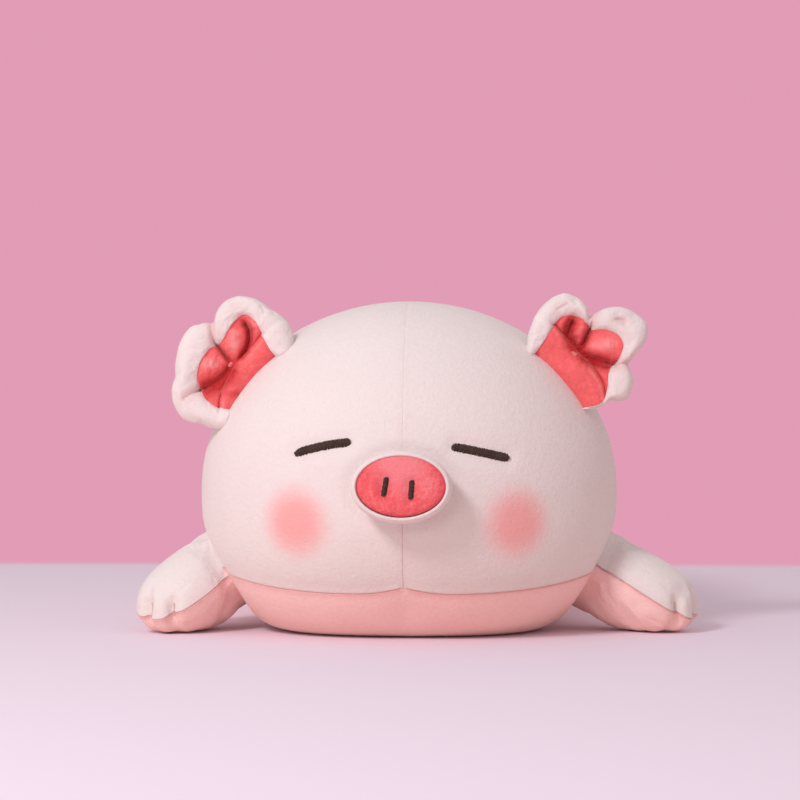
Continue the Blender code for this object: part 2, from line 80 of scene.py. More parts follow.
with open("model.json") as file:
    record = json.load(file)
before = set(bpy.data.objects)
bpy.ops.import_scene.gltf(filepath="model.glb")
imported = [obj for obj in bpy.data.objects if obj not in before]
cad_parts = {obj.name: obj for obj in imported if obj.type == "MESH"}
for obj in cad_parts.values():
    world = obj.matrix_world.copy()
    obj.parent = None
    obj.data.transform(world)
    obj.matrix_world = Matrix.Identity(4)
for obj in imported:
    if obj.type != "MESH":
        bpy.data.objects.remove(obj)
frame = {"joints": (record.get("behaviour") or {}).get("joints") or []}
CAD_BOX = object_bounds()

TRUNK = "trunk"
JOINTS = {joint["child"]: joint for joint in frame["joints"]}
BACKWARDS = np.array((0.0, 1.0, 0.0))
UPWARD = np.array((0.0, 0.0, 1.0))

# How softly cloth leaves the floor, and how high over the floor a soft form settles
FLOOR_SOFTNESS = 0.004
SETTLE_REACH = 0.014
# Lower than this, the floor holds the body's skin while it is filled
HELD_LEVEL = 0.0006
# How far inside its form the cloth starts, before it is filled
BODY_INSET = 0.0016
LEG_INSET = 0.0014
# How far a sewn edge keeps from the middle of its seam
SEAM_GAP = 0.00002
# Painted shade beside a seam: how deep its colour is, and how fast that fades out
BODY_SEAM_SHADE = 0.36
LEG_SEAM_SHADE = 0.35
EAR_SEAM_SHADE = 0.12
SEAM_SHADE_REACH = 0.0014
# How much deeper that painted shade is on the edge that is turned in, and its depth on a cut edge that
# isn't sewn
LIP_SHADE = 1.6
CUT_EDGE_SHADE = 0.5
# Grooves that seams and sewn-on things draw into the cloth: depth and reach
SEAM_GROOVE = (0.0009, 0.0045)
SNOUT_GROOVE = (0.0026, 0.0045)
LEG_GROOVE = (0.0028, 0.0055)
EYE_GROOVE = (0.0009, 0.0030)
NOSTRIL_GROOVE = (0.0007, 0.0024)
# The cheeks' dye: sideways and up, radius and strength
CHEEKS = ((0.0592, 0.0625), (-0.0560, 0.0625))
CHEEK_RADIUS = 0.0228
CHEEK_STRENGTH = 0.88
# Squares across each closed form
BODY_CELLS = 76
LEG_CELLS = 26
EAR_CELLS = 56
# Rows of squares round an ear's rim
RIM_STEPS = 22
# How far the tail runs into the rump
TAIL_ROOT = 0.012
# The floor is pale as far as this, and the lamps look at this height over it
FLOOR_RADIUS = 0.95
LAMP_TARGET = 0.08
# Strands: how close they lie, and how far off a surface the rays start that lay them on it
STRAND_PITCH = 0.86
RAY_START = 0.20
TOE_RAY_START = 0.15

# Profile of the snout's wall: how far inside its widest outline, and how far forward
SNOUT_WALL = (
    (0.0014, -0.0050), (0.0010, 0.0010), (0.0002, 0.0065), (0.0, 0.0112), (0.0004, 0.0146),
    (0.0013, 0.0166), (0.0021, 0.0171),
)
SNOUT_LIP = ((0.0030, 0.0157), (0.0031, 0.0138))
SNOUT_LIP_LEVEL = 0.0168
# Profile of the snout's disc: share of its oval, and how far forward
SNOUT_DISC = (
    (0.0, 0.0188), (0.20, 0.0188), (0.42, 0.0186), (0.62, 0.0183), (0.78, 0.0178), (0.89, 0.0171),
    (0.955, 0.0162), (0.985, 0.0150), (0.990, 0.0125),
)
SNOUT_DISC_LIFT = 0.0005

# Lobes of each ear: bearing round the tack in degrees, share of the reach at the rim
LEFT_RIM = (
    (-26, 0.70), (3, 0.77), (17, 0.98), (29, 0.96), (38, 0.78), (50, 0.94), (56, 1.07),
    (65, 1.12), (73, 1.02), (87, 0.88), (96, 0.75), (106, 0.58), (111, 0.50), (117, 0.64),
    (127, 0.74), (139, 0.84), (149, 0.83), (164, 0.77), (185, 0.68), (206, 0.63),
)
RIGHT_RIM = (
    (-33, 0.82), (-4, 0.87), (12, 0.99), (23, 0.98), (33, 0.92), (42, 0.80), (60, 0.74),
    (79, 0.73), (95, 0.73), (109, 0.67), (119, 0.61), (125, 0.78), (133, 0.94), (141, 1.02),
    (150, 1.02), (165, 0.96), (183, 0.93), (214, 0.80),
)
# Edge of each coral lining in millimetres from the middle of the root: sideways, outward
LEFT_LINING = (
    (-15, -8), (-16.0, 4.0), (-18.6, 17.7), (-18.3, 22.2), (-14.5, 27.0), (-9.7, 28.5), (-5.5, 27.5),
    (-1.8, 26.6), (1.2, 30.0), (4.1, 33.1), (11.0, 36.4), (16.6, 35.7), (18.8, 30.1), (19.2, 24.0),
    (21.0, 19.0), (25.0, 15.6), (28.0, 11.0), (29.0, 4.0), (27.0, -8),
)
RIGHT_LINING = (
    (-18.0, -8), (-19.4, 1.0), (-21.5, 7.0), (-26.8, 19.4), (-26.8, 26.3), (-22.0, 27.4), (-15.0, 25.6),
    (-9.4, 23.2), (-3.4, 23.0), (0.5, 25.6), (8.8, 25.1), (16.4, 22.6), (21.2, 17.2), (23.4, 11.7),
    (22.2, 4.0), (18.5, -2.0), (15.0, -8),
)
# The roll beside each ear's root: points of its outer edge in the same millimetres
LEFT_ROLL = (
    (-19.0, 16.5), (-12.0, 14.9), (-5.0, 13.8), (2.0, 13.4), (9.0, 13.9), (16.0, 14.4), (22.5, 14.0),
    (27.0, 12.0),
)
RIGHT_ROLL = (
    (-27.0, 13.0), (-19.0, 10.6), (-11.0, 9.3), (-3.0, 9.2), (5.0, 8.0), (12.0, 6.6), (19.0, 4.6),
    (24.0, 2.0),
)
# Valleys of each ear: points in the same millimetres, depth and width
LEFT_VALLEYS = (
    (((0.4, 14.0), (-4.4, 14.6), (-9.3, 17.2), (-11.9, 21.5), (-12.6, 25.5)), 6.0, 2.7),
    (((1.0, 14.0), (0.4, 18.0), (-0.9, 22.3), (-2.6, 27.6)), 6.0, 1.6),
    (((-2.6, 27.6), (-5.0, 32.0), (-6.9, 38.0)), 4.0, 2.6),
    (((3.0, 13.8), (8.5, 16.6), (14.0, 20.4), (18.5, 24.0)), 6.5, 2.8),
    (((18.5, 24.0), (22.0, 28.0), (25.5, 33.5)), 4.0, 3.0),
    (((4.5, 41.0), (8.0, 43.4), (10.0, 43.0)), 3.2, 2.2),
    (((-22.5, 24.0), (-20.0, 30.5)), 1.4, 2.4),
)
RIGHT_VALLEYS = (
    (((-6.0, 10.0), (-11.7, 11.2), (-17.0, 14.4), (-20.8, 18.6), (-22.8, 23.8)), 6.0, 1.7),
    (((0.0, 10.2), (5.0, 8.8), (10.0, 10.3), (15.0, 13.4), (20.0, 17.2)), 6.5, 3.8),
    (((20.0, 17.2), (25.0, 20.4), (31.0, 23.6)), 2.8, 3.4),
    (((0.0, 11.0), (-1.6, 16.0), (-2.9, 20.6), (-3.8, 26.0)), 4.2, 1.3),
    (((-3.8, 26.0), (-7.5, 30.4), (-12.0, 35.8)), 4.0, 2.6),
    (((-25.5, 30.5), (-26.0, 35.0)), 1.4, 3.0),
    (((9.0, -2.0), (12.5, 3.0), (15.0, 8.0)), 2.0, 2.0),
)
# Ridges of each ear: points in the same millimetres, height and width
LEFT_RIDGES = (
    (((4.5, 19.0), (8.0, 25.0), (12.5, 32.0)), 2.0, 4.2),
    (((-5.5, 19.0), (-7.0, 25.5)), 1.6, 2.0),
    (((-15.0, 19.0), (-15.6, 25.0)), 1.4, 2.4),
)
RIGHT_RIDGES = (
    (((-7.0, 14.0), (-12.0, 20.0), (-16.0, 24.0)), 2.2, 3.2),
    (((-24.4, 16.0), (-25.4, 22.0)), 1.6, 2.0),
    (((3.5, 14.5), (6.0, 20.0), (9.0, 23.0)), 2.2, 4.0),
)


# Settings that a user would change


def length(name, description, default):
    return FloatProperty(name=name, description=description, default=default, unit="LENGTH", precision=4)


def share(name, description, default):
    return FloatProperty(name=name, description=description, default=default, subtype="FACTOR")


def angle(name, description, degrees):
    turn = math.radians(degrees)
    return FloatProperty(name=name, description=description, default=turn, subtype="ANGLE")


def number(name, description, default):
    return FloatProperty(name=name, description=description, default=default)


def colour(name, description, default):
    return FloatVectorProperty(
        name=name, description=description, default=default, size=3, min=0, max=1, subtype="COLOR"
    )


class PigBodySettings(bpy.types.PropertyGroup):
    """Sizes of the body, measured from its widest section, which is across the cheeks"""

    width: length("Width", "Across the cheeks", 0.230)
    height: length("Height", "From the floor to the crown", 0.181)
    cheek_level: length("Cheek level", "Height of the widest place", 0.077)
    face_depth: length("Face depth", "From the cheeks to the front", 0.100)
    back_length: length("Back length", "From the cheeks to the rump", 0.258)
    belly_depth: length("Belly depth", "From the cheeks down, before the floor presses it", 0.088)
    face_power: number("Face bluntness", "2 is an ellipse", 2.1)
    rump_power: number("Rump bluntness", "2 is an ellipse", 2.6)
    belly_power: number("Belly bluntness", "2 is an ellipse", 2.55)
    hip_power: number("Hip bluntness", "The same, where the legs start", 2.2)
    rump_narrowing: share("Rump narrowing", "Share of the width lost at the rump", 0.10)
    rump_lowering: share("Rump lowering", "Share of the height lost at the rump", 0.20)
    seam_front: length("Seam at the front", "Height of the belly seam under the chin", 0.0265)
    seam_rear: length("Seam at the rear", "Height of the belly seam at the rump", 0.062)
    seam_roll: length("Belly seam roll", "Radius that the cloth turns in with", 0.0007)
    settle: length("Settle", "How far the under-side sinks on to the floor", 0.0040)
    centre_seam: share("Centre seam", "How much of the belly seam's roll the middle seam has", 0.45)
    brow_seam: share("Brow seam", "The same on the face over the snout", 0.03)
    chin_drop: length("Chin drop", "How far the belly seam sinks under the face", 0.0068)
    chin_peak: length("Chin peak", "How far the middle seam lifts the belly seam", 0.0061)


class PigSnoutSettings(bpy.types.PropertyGroup):
    """Sizes of the snout and its nostrils"""

    width: length("Width", "Across the rim", 0.0512)
    height: length("Height", "Over the rim", 0.0368)
    rim: length("Rim", "Of pale cloth that shows round the disc", 0.0027)
    root: length("Root", "Hidden inside the face", 0.014)
    level: length("Level", "Height of its middle", 0.0812)
    pitch: angle("Pitch", "How far it looks up", 4)
    nostril_length: length("Nostril length", "Along the stitches' bar", 0.0096)
    nostril_breadth: length("Nostril breadth", "Across the bar", 0.0031)
    nostril_spread: length("Nostril spread", "From their middle", 0.0066)
    nostril_shift: length("Nostril shift", "Of both, to the pig's right", 0.0012)
    nostril_drop: length("Nostril drop", "How much lower the left one sits", 0.0015)
    nostril_slant_right: angle("Nostril slant, right", "Of its top, to the pig's left", 10)
    nostril_slant_left: angle("Nostril slant, left", "Of its top, to the pig's left", 4)


class PigEyeSettings(bpy.types.PropertyGroup):
    """Sizes of the embroidered eyes"""

    length: length("Length", "Along the bar", 0.0300)
    breadth: length("Breadth", "Across the bar", 0.0054)
    arch_left: length("Arch, left", "How far the middle rises", 0.0002)
    arch_right: length("Arch, right", "How far the middle rises", 0.0009)
    spread_left: length("Spread, left", "From the middle", 0.0397)
    spread_right: length("Spread, right", "From the middle", 0.0411)
    level_left: length("Level, left", "Height of the pig's left eye", 0.0990)
    level_right: length("Level, right", "Height of the pig's right eye", 0.1012)
    slant: angle("Slant", "How far the outer ends drop", 12)
    strand: length("Strand", "Thickness of the thread", 0.00042)


class PigEarSettings(bpy.types.PropertyGroup):
    """Sizes of the gathered ears"""

    reach: length("Reach", "From the tack to the rim", 0.0400)
    tack_height: length("Tack height", "From the root to the tack", 0.0120)
    thickness: length("Thickness", "Of the padded rim", 0.0125)
    root_radius: length("Root radius", "From the root to the hinge", 0.0030)
    root_follow: share("Root follow", "How closely the root follows the head", 1.0)
    lean_left: angle("Lean, left", "Of the outward line over the level", 48)
    lean_right: angle("Lean, right", "Of the outward line over the level", 39)
    seam_roll: length("Seam roll", "Radius that the cloth turns in with", 0.00016)
    root_depth: length("Root depth", "How far the root runs into the head", 0.0055)
    roll_height: length("Roll height", "Of the roll beside the root", 0.0050)


class PigLegSettings(bpy.types.PropertyGroup):
    """Sizes of the legs; the lengths run from the body out to the toes"""

    root: length("Root", "Inside the body", 0.030)
    width: length("Width", "Across the paw", 0.052)
    thickness: length("Thickness", "At the root", 0.050)
    power: number("Bluntness", "2 is an ellipse", 2.6)
    taper: share("Taper", "Share of the thickness lost at the toes", 0.25)
    lift: length("Lift", "Of the paw over the floor", 0.0006)
    toe_bearing: angle("Toe bearing", "Of each toe stitch from their middle", 17)
    toe_turn: angle("Toe turn", "Of both toe stitches, forwards", 10)
    settle: length("Settle", "How far the under-side sinks on to the floor", 0.0045)
    shoulder: length("Shoulder", "How much fuller the top is at the root", 0.0050)
    toe_dimple: length("Toe dimple", "How deep the stitches draw the toes in", 0.0048)
    stitch_length: length("Toe stitch length", "Up the toe", 0.0064)
    stitch_breadth: length("Toe stitch breadth", "Across", 0.0011)
    stitch_level: length("Toe stitch level", "Height of its middle", 0.0140)
    seam_roll: length("Seam roll", "Radius that the cloth turns in with", 0.0006)
    seam_toe: length("Seam at the toes", "Height of the seam there", 0.0100)
    seam_root: length("Seam at the root", "Height of the seam there", 0.0450)
    softness: length("Softness", "Of the turn where the floor presses the paw", 0.0018)
    fore_length: length("Foreleg length", "Body to toes", 0.060)
    fore_station: length("Foreleg station", "Behind the cheeks", 0.004)
    fore_left: angle("Left foreleg bearing", "From straight out, backwards", -26)
    fore_right: angle("Right foreleg bearing", "From straight out, backwards", -53)
    fore_root_level: length("Foreleg root level", "Height of its middle line", 0.031)
    hind_length: length("Hind leg length", "Body to toes", 0.062)
    hind_station: length("Hind leg station", "Behind the cheeks", 0.180)
    hind_bearing: angle("Hind leg bearing", "From straight out, backwards", 48)
    hind_root_level: length("Hind leg root level", "Height of its middle line", 0.033)
    toe_level: length("Toe level", "Height of the middle line at the toes", 0.015)


class PigTailSettings(bpy.types.PropertyGroup):
    """Sizes of the curled tail"""

    thickness: length("Thickness", "At the root", 0.0104)
    curl_radius: length("Curl radius", "Of the tube's middle line", 0.0125)
    stalk: length("Stalk", "From the hinge to the curl", 0.015)
    pitch: length("Pitch", "Sideways for each turn", 0.014)
    turns: number("Turns", "Of the curl", 1.15)


class PigColours(bpy.types.PropertyGroup):
    """Colours of the cloth and thread, and of the painted shade and highlight on them, as linear red,
    green and blue
    """

    pale: colour("Pale plush", "Upper panels, snout wall, ear rims and tail", (0.825, 0.735, 0.738))
    # Painted shade: the pale plush's colour in its seams, where shade falls
    pale_shade: colour("Pale hollows", "Its deep pile in seams", (0.74, 0.47, 0.47))
    blush: colour("Blush plush", "Belly and under-sides of the legs", (0.98, 0.645, 0.640))
    # Painted shade: the blush plush's colour in its seams, where shade falls
    blush_shade: colour("Blush hollows", "Its deep pile in seams", (0.72, 0.27, 0.26))
    coral: colour("Coral plush", "Ear linings", (0.95, 0.160, 0.168))
    # Painted shade: the coral plush's colour in its folds, at the snout disc's edge and in the nostrils'
    # dents
    coral_shade: colour("Coral hollows", "Its deep pile in folds", (0.46, 0.010, 0.012))
    # The disc's own colour, and a painted highlight at its top, lighter, where the light catches the
    # pile
    disc: colour("Snout disc", "The same plush, brushed down", (0.92, 0.125, 0.148))
    disc_highlight: colour("Snout disc, light", "Its pile where it is brushed up", (0.95, 0.32, 0.36))
    cheek: colour("Cheek dye", "Sprayed on the cheeks", (0.91, 0.375, 0.375))
    thread: colour("Eye thread", "Embroidery of eyes and nostrils", (0.028, 0.013, 0.009))
    thread_light: colour("Eye thread, light", "Where the strands catch the light", (0.115, 0.072, 0.048))
    toe_thread: colour("Toe thread", "Stitches of the toes and ears", (0.66, 0.42, 0.36))


class PigStageSettings(bpy.types.PropertyGroup):
    """Camera, floor and light"""

    distance: length("Distance", "Camera to the cheeks", 1.3)
    camera_height: length("Camera height", "Over the floor", 0.130)
    target_height: length("Target height", "Over the floor", 0.1255)
    target_x: length("Target sideways", "From the pig's middle", -0.005)
    yaw: angle("Yaw", "Camera towards the pig's left", 2.292)
    lens: FloatProperty(name="Lens", description="Focal length", default=106.3, unit="CAMERA")
    wall: length("Wall", "Where the floor meets the backdrop, behind the cheeks", 0.476)
    wall_softness: length("Wall softness", "Half of the width of the turn there", 0.030)
    floor: colour("Floor", "Its pale top", (0.86, 0.75, 0.87))
    bounce: colour("Floor bounce", "Colour of the light that the floor throws back", (0.90, 0.70, 0.69))
    backdrop: colour("Backdrop", "Behind the pig", (0.76, 0.335, 0.465))
    key: number("Key light", "Upper left, in watts", 11.6)
    fill: number("Fill light", "Low on the left, in watts", 2.4)
    ambient: number("Ambient", "Strength of the world's light", 0.60)


GROUPS = {
    "pig_body": PigBodySettings,
    "pig_snout": PigSnoutSettings,
    "pig_eyes": PigEyeSettings,
    "pig_ears": PigEarSettings,
    "pig_legs": PigLegSettings,
    "pig_tail": PigTailSettings,
    "pig_colours": PigColours,
    "pig_stage": PigStageSettings,
}


# Forms, as arrays of points


def bell(values, reach):
    """1 where the values are 0, falling smoothly to nothing on both sides."""
    return np.exp(-((values / reach) ** 2))


def groove(off, size):
    depth, reach = size
    return depth * bell(off, reach)


def even(value):
    """A function that gives every place the same value."""
    return lambda places: np.full(len(places), value)


def signed_power(values, power):
    """A power that keeps the sign, as a superellipse needs."""
    return np.sign(values) * np.abs(values) ** power


def pressed(z, floor, softness=FLOOR_SOFTNESS):
    """Presses heights against the floor, with a soft turn where the cloth leaves it."""
    return floor + softness * np.logaddexp(0.0, (z - floor) / softness)


def unit(vectors):
    """The vectors at length 1."""
    return vectors / np.maximum(np.linalg.norm(vectors, axis=-1, keepdims=True), 1e-12)


def pig_origin():
    """The point on the floor under the middle of the cheeks, from the packed model."""
    body = bpy.context.scene.pig_body
    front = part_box("upper_cover_left")[0].y
    return np.array((JOINTS["tail"]["pos_m"][0], front + body.face_depth, 0.0))


def body_form(points, belly_power=None):
    """The body's form over the unit sphere whose poles, on Z, are the pig's front and rear."""
    body = bpy.context.scene.pig_body
    x, y, z = points.T
    behind = z > 0
    power = np.where(behind, body.rump_power, body.face_power)
    reach = np.where(behind, body.back_length, body.face_depth)
    along = reach * signed_power(z, 2 / power)
    girth = np.maximum(0.0, 1 - z * z) ** (1 / power)
    ring = np.maximum(np.hypot(x, y), 1e-9)
    taper = np.where(behind, np.maximum(0.0, along / reach) ** 2, 0.0)
    half_width = body.width / 2 * (1 - body.rump_narrowing * taper)
    upper = y > 0
    round_power = np.where(upper, 2.0, belly_power or body.belly_power)
    above = (body.height - body.cheek_level) * (1 - body.rump_lowering * taper)
    height = np.where(upper, above, body.belly_depth)
    across = half_width * girth * signed_power(x / ring, 2 / round_power)
    level = body.cheek_level + height * girth * signed_power(y / ring, 2 / round_power)
    return np.column_stack((across, along, pressed(level, 0.0))) + pig_origin()


def grid_squares(rows, columns):
    """The squares of a grid of points that are numbered row by row."""
    at = np.arange(rows * columns).reshape(rows, columns)
    return np.stack((at[:-1, :-1], at[1:, :-1], at[1:, 1:], at[:-1, 1:]), axis=-1).reshape(-1, 4)


def ring_squares(ring, after):
    """The squares between two closed rings of points."""
    return np.column_stack((ring, after, np.roll(after, -1), np.roll(ring, -1)))


def sphere_tree(form, segments, rings):
    """A search tree of a form, fine enough to lay a mesh on."""
    tilt, turn = np.meshgrid(
        np.linspace(0, math.pi, rings + 1), np.linspace(0, math.tau, segments + 1), indexing="ij"
    )
    across, up, along = np.sin(tilt) * np.cos(turn), np.sin(tilt) * np.sin(turn), np.cos(tilt)
    places = form(np.stack((across, up, along), axis=-1).reshape(-1, 3))
    faces = grid_squares(rings + 1, segments + 1)
    corners = places[faces]
    facing = np.cross(corners[:, 2] - corners[:, 0], corners[:, 3] - corners[:, 1])
    outward = corners.mean(axis=1) - places.mean(axis=0)
    if np.einsum("ij,ij->i", facing, outward).sum() < 0:
        faces = faces[:, ::-1]
    return BVHTree.FromPolygons(places.tolist(), faces.tolist())


def cast(tree, starts, directions):
    """Where each ray meets the tree, or its start where it meets nothing."""
    found = np.array(starts, float)
    for row, (start, direction) in enumerate(zip(starts, directions)):
        place = tree.ray_cast(Vector(start), Vector(direction))[0]
        if place is not None:
            found[row] = place
    return found


def nearest(tree, points, limit):
    """Signed distance to the tree's surface, positive outside, and limit where it is further."""
    distances = np.full(len(points), float(limit))
    for row, point in enumerate(points):
        place, normal, _, far = tree.find_nearest(Vector(point), limit)
        if place is not None:
            distances[row] = far if (Vector(point) - place).dot(normal) > 0 else -far
    return distances


def disc_grid(cells):
    """A square grid bent into a round one, with rings round it that fill the unit disc.

    Returns the radius and the angle of each point, the squares, and the rim's points in order.
    """
    inner = 0.78  # radius of the bent square's rim
    rings = max(2, round(cells * (1 - inner) / (2 * inner)))
    steps = np.linspace(-1, 1, cells + 1)
    a, b = np.meshgrid(steps, steps, indexing="ij")
    u = a * np.sqrt(1 - b * b / 2)
    v = b * np.sqrt(1 - a * a / 2)
    radius = inner * np.minimum(1.0, np.hypot(u, v)).ravel()
    turn = np.arctan2(v, u).ravel()
    squares = [grid_squares(cells + 1, cells + 1)]
    rim = np.flatnonzero(((np.abs(a) == 1) | (np.abs(b) == 1)).ravel())
    rim = rim[np.argsort(turn[rim])]
    around = turn[rim]
    for k in range(1, rings + 1):
        after = len(radius) + np.arange(len(rim))
        squares.append(ring_squares(rim, after))
        radius = np.append(radius, np.full(len(rim), inner + (1 - inner) * k / rings))
        turn = np.append(turn, around)
        rim = after
    return radius, turn, np.vstack(squares), rim


def sewn_shells(tree, centre, axes, stretch, cells):
    """Two domes of squares round a centre, that share the seam's ring.

    axes are three rows: across and along in the seam's plane, and up. Returns the places, the
    squares, the panel of each square, 0 above the seam and 1 below, and the rows of the ring.
    """
    radius, turn, squares, ring = disc_grid(cells)
    tilt = radius * math.pi / 2
    flat = np.sin(tilt)
    upper = np.column_stack((flat * np.cos(turn), flat * np.sin(turn), np.cos(tilt)))
    upper[ring, 2] = 0.0
    inside = np.ones(len(upper), bool)
    inside[ring] = False
    directions = np.vstack((upper * stretch, upper[inside] * stretch * (1, 1, -1)))
    directions = unit(directions @ axes)
    places = cast(tree, np.repeat(centre[None], len(directions), axis=0), directions)
    under = np.arange(len(upper))
    under[inside] = len(upper) + np.arange(inside.sum())
    faces = np.vstack((squares, under[squares][:, ::-1]))
    panels = np.repeat((0, 1), len(squares))
    return places, faces, panels, ring


def new_object(name, places, faces):
    """A mesh object in the scene, from points and faces."""
    mesh = bpy.data.meshes.new(name)
    mesh.from_pydata(np.asarray(places).tolist(), [], [list(map(int, face)) for face in faces])
    mesh.update()
    obj = bpy.data.objects.new(name, mesh)
    bpy.context.scene.collection.objects.link(obj)
    return obj


def closed_object(name, places, faces, panels):
    """A closed form as an object, with the panel of each face as its material index."""
    obj = new_object(name, places, faces)
    for _ in range(int(max(panels)) + 1):
        obj.data.materials.append(None)
    obj.data.polygons.foreach_set("material_index", np.array(panels, np.int32))
    return obj


def squares_of(mesh):
    """The corners and the panel of each square of a mesh of squares."""
    rows = np.empty(len(mesh.loops), np.int32)
    mesh.loops.foreach_get("vertex_index", rows)
    panels = np.empty(len(mesh.polygons), np.int32)
    mesh.polygons.foreach_get("material_index", panels)
    return rows.reshape(-1, 4), panels


def vectors_of(items, key):
    values = np.empty(len(items) * 3, np.float32)
    items.foreach_get(key, values)
    return values.reshape(-1, 3).astype(float)


def places_of(mesh):
    return vectors_of(mesh.vertices, "co")


def normals_of(mesh):
    return vectors_of(mesh.vertex_normals, "vector")


def paint(obj, name, values):
    """Stores a value at each point, which the materials read."""
    layer = obj.data.attributes.new(name, "FLOAT", "POINT")
    layer.data.foreach_set("value", np.asarray(values, np.float32))


def set_places(mesh, places):
    mesh.vertices.foreach_set("co", np.asarray(places, np.float32).ravel())
    mesh.update()


def evened(values, mesh, held, rounds):
    """Averages the points' values with their neighbours', a number of times, and holds some at 0."""
    rows = np.empty(len(mesh.edges) * 2, np.int32)
    mesh.edges.foreach_get("vertices", rows)
    first, second = rows.reshape(-1, 2).T
    count = np.bincount(rows, minlength=len(values))[:, None]
    for _ in range(rounds):
        total = np.zeros_like(values)
        np.add.at(total, first, values[second])
        np.add.at(total, second, values[first])
        values = (values + total / count) / 2
        values[held] = 0
    return values


def stuff(obj, sewn, pressure, cap, slack, calm=0):
    """Fills a closed cloth by simulation: the sewn points hold, and none moves further than cap.

    pressure is that of the filling, slack the share by which the cloth is wider than its form, and
    calm how many times its wrinkles are evened out.
    """
    steps = 20
    scene = bpy.context.scene
    before = places_of(obj.data)
    group = obj.vertex_groups.new(name="sewn")
    group.add([int(k) for k in sewn], 1.0, "REPLACE")
    cloth = obj.modifiers.new("Filling", "CLOTH")
    for key, value in (
        ("quality", 5), ("mass", 0.15), ("tension_stiffness", 15.0), ("compression_stiffness", 15.0),
        ("shear_stiffness", 5.0), ("bending_stiffness", 0.4), ("vertex_group_mass", group.name),
        ("pin_stiffness", 1.0), ("use_pressure", True), ("uniform_pressure_force", pressure),
        ("shrink_min", -slack), ("shrink_max", -slack),
    ):
        setattr(cloth.settings, key, value)
    cloth.settings.effector_weights.gravity = 0.0
    cloth.collision_settings.use_collision = False
    cloth.point_cache.frame_start = 1
    cloth.point_cache.frame_end = steps
    for step in range(1, steps + 1):
        scene.frame_set(step)
    filled = obj.evaluated_get(bpy.context.evaluated_depsgraph_get())
    after = places_of(filled.to_mesh())
    filled.to_mesh_clear()
    obj.modifiers.remove(cloth)
    obj.vertex_groups.remove(group)
    scene.frame_set(1)
    moved = evened(after - before, obj.data, sewn, calm)
    far = np.linalg.norm(moved, axis=1, keepdims=True)
    set_places(obj.data, before + moved * (cap * np.tanh(far / cap)) / np.maximum(far, 1e-9))


def deselect_objects():
    for obj in bpy.context.selected_objects:
        obj.select_set(False)


def subdivide(obj, levels):
    """Adds Catmull-Clark subdivision and applies it."""
    deselect_objects()
    bpy.context.view_layer.objects.active = obj
    obj.select_set(True)
    finer = obj.modifiers.new("Finer", "SUBSURF")
    finer.levels = levels
    finer.render_levels = levels
    finer.boundary_smooth = "PRESERVE_CORNERS"
    bpy.ops.object.modifier_apply(modifier=finer.name)
    obj.select_set(False)


def seam_rows(mesh):
    """The rows of the points where squares of different panels meet."""
    squares, panels = squares_of(mesh)
    low = np.full(len(mesh.vertices), panels.max())
    high = np.zeros(len(mesh.vertices), int)
    np.minimum.at(low, squares.ravel(), np.repeat(panels, 4))
    np.maximum.at(high, squares.ravel(), np.repeat(panels, 4))
    return np.flatnonzero(low < high)


def distance_to(points, others):
    """Distance from each point to the nearest of the others."""
    tree = KDTree(len(others))
    for row, other in enumerate(others):
        tree.insert(other, row)
    tree.balance()
    return np.array([tree.find(point)[2] for point in points])


def level_with(vectors, normals):
    """The vectors without their part along the normals."""
    return vectors - normals * np.sum(vectors * normals, axis=1, keepdims=True)


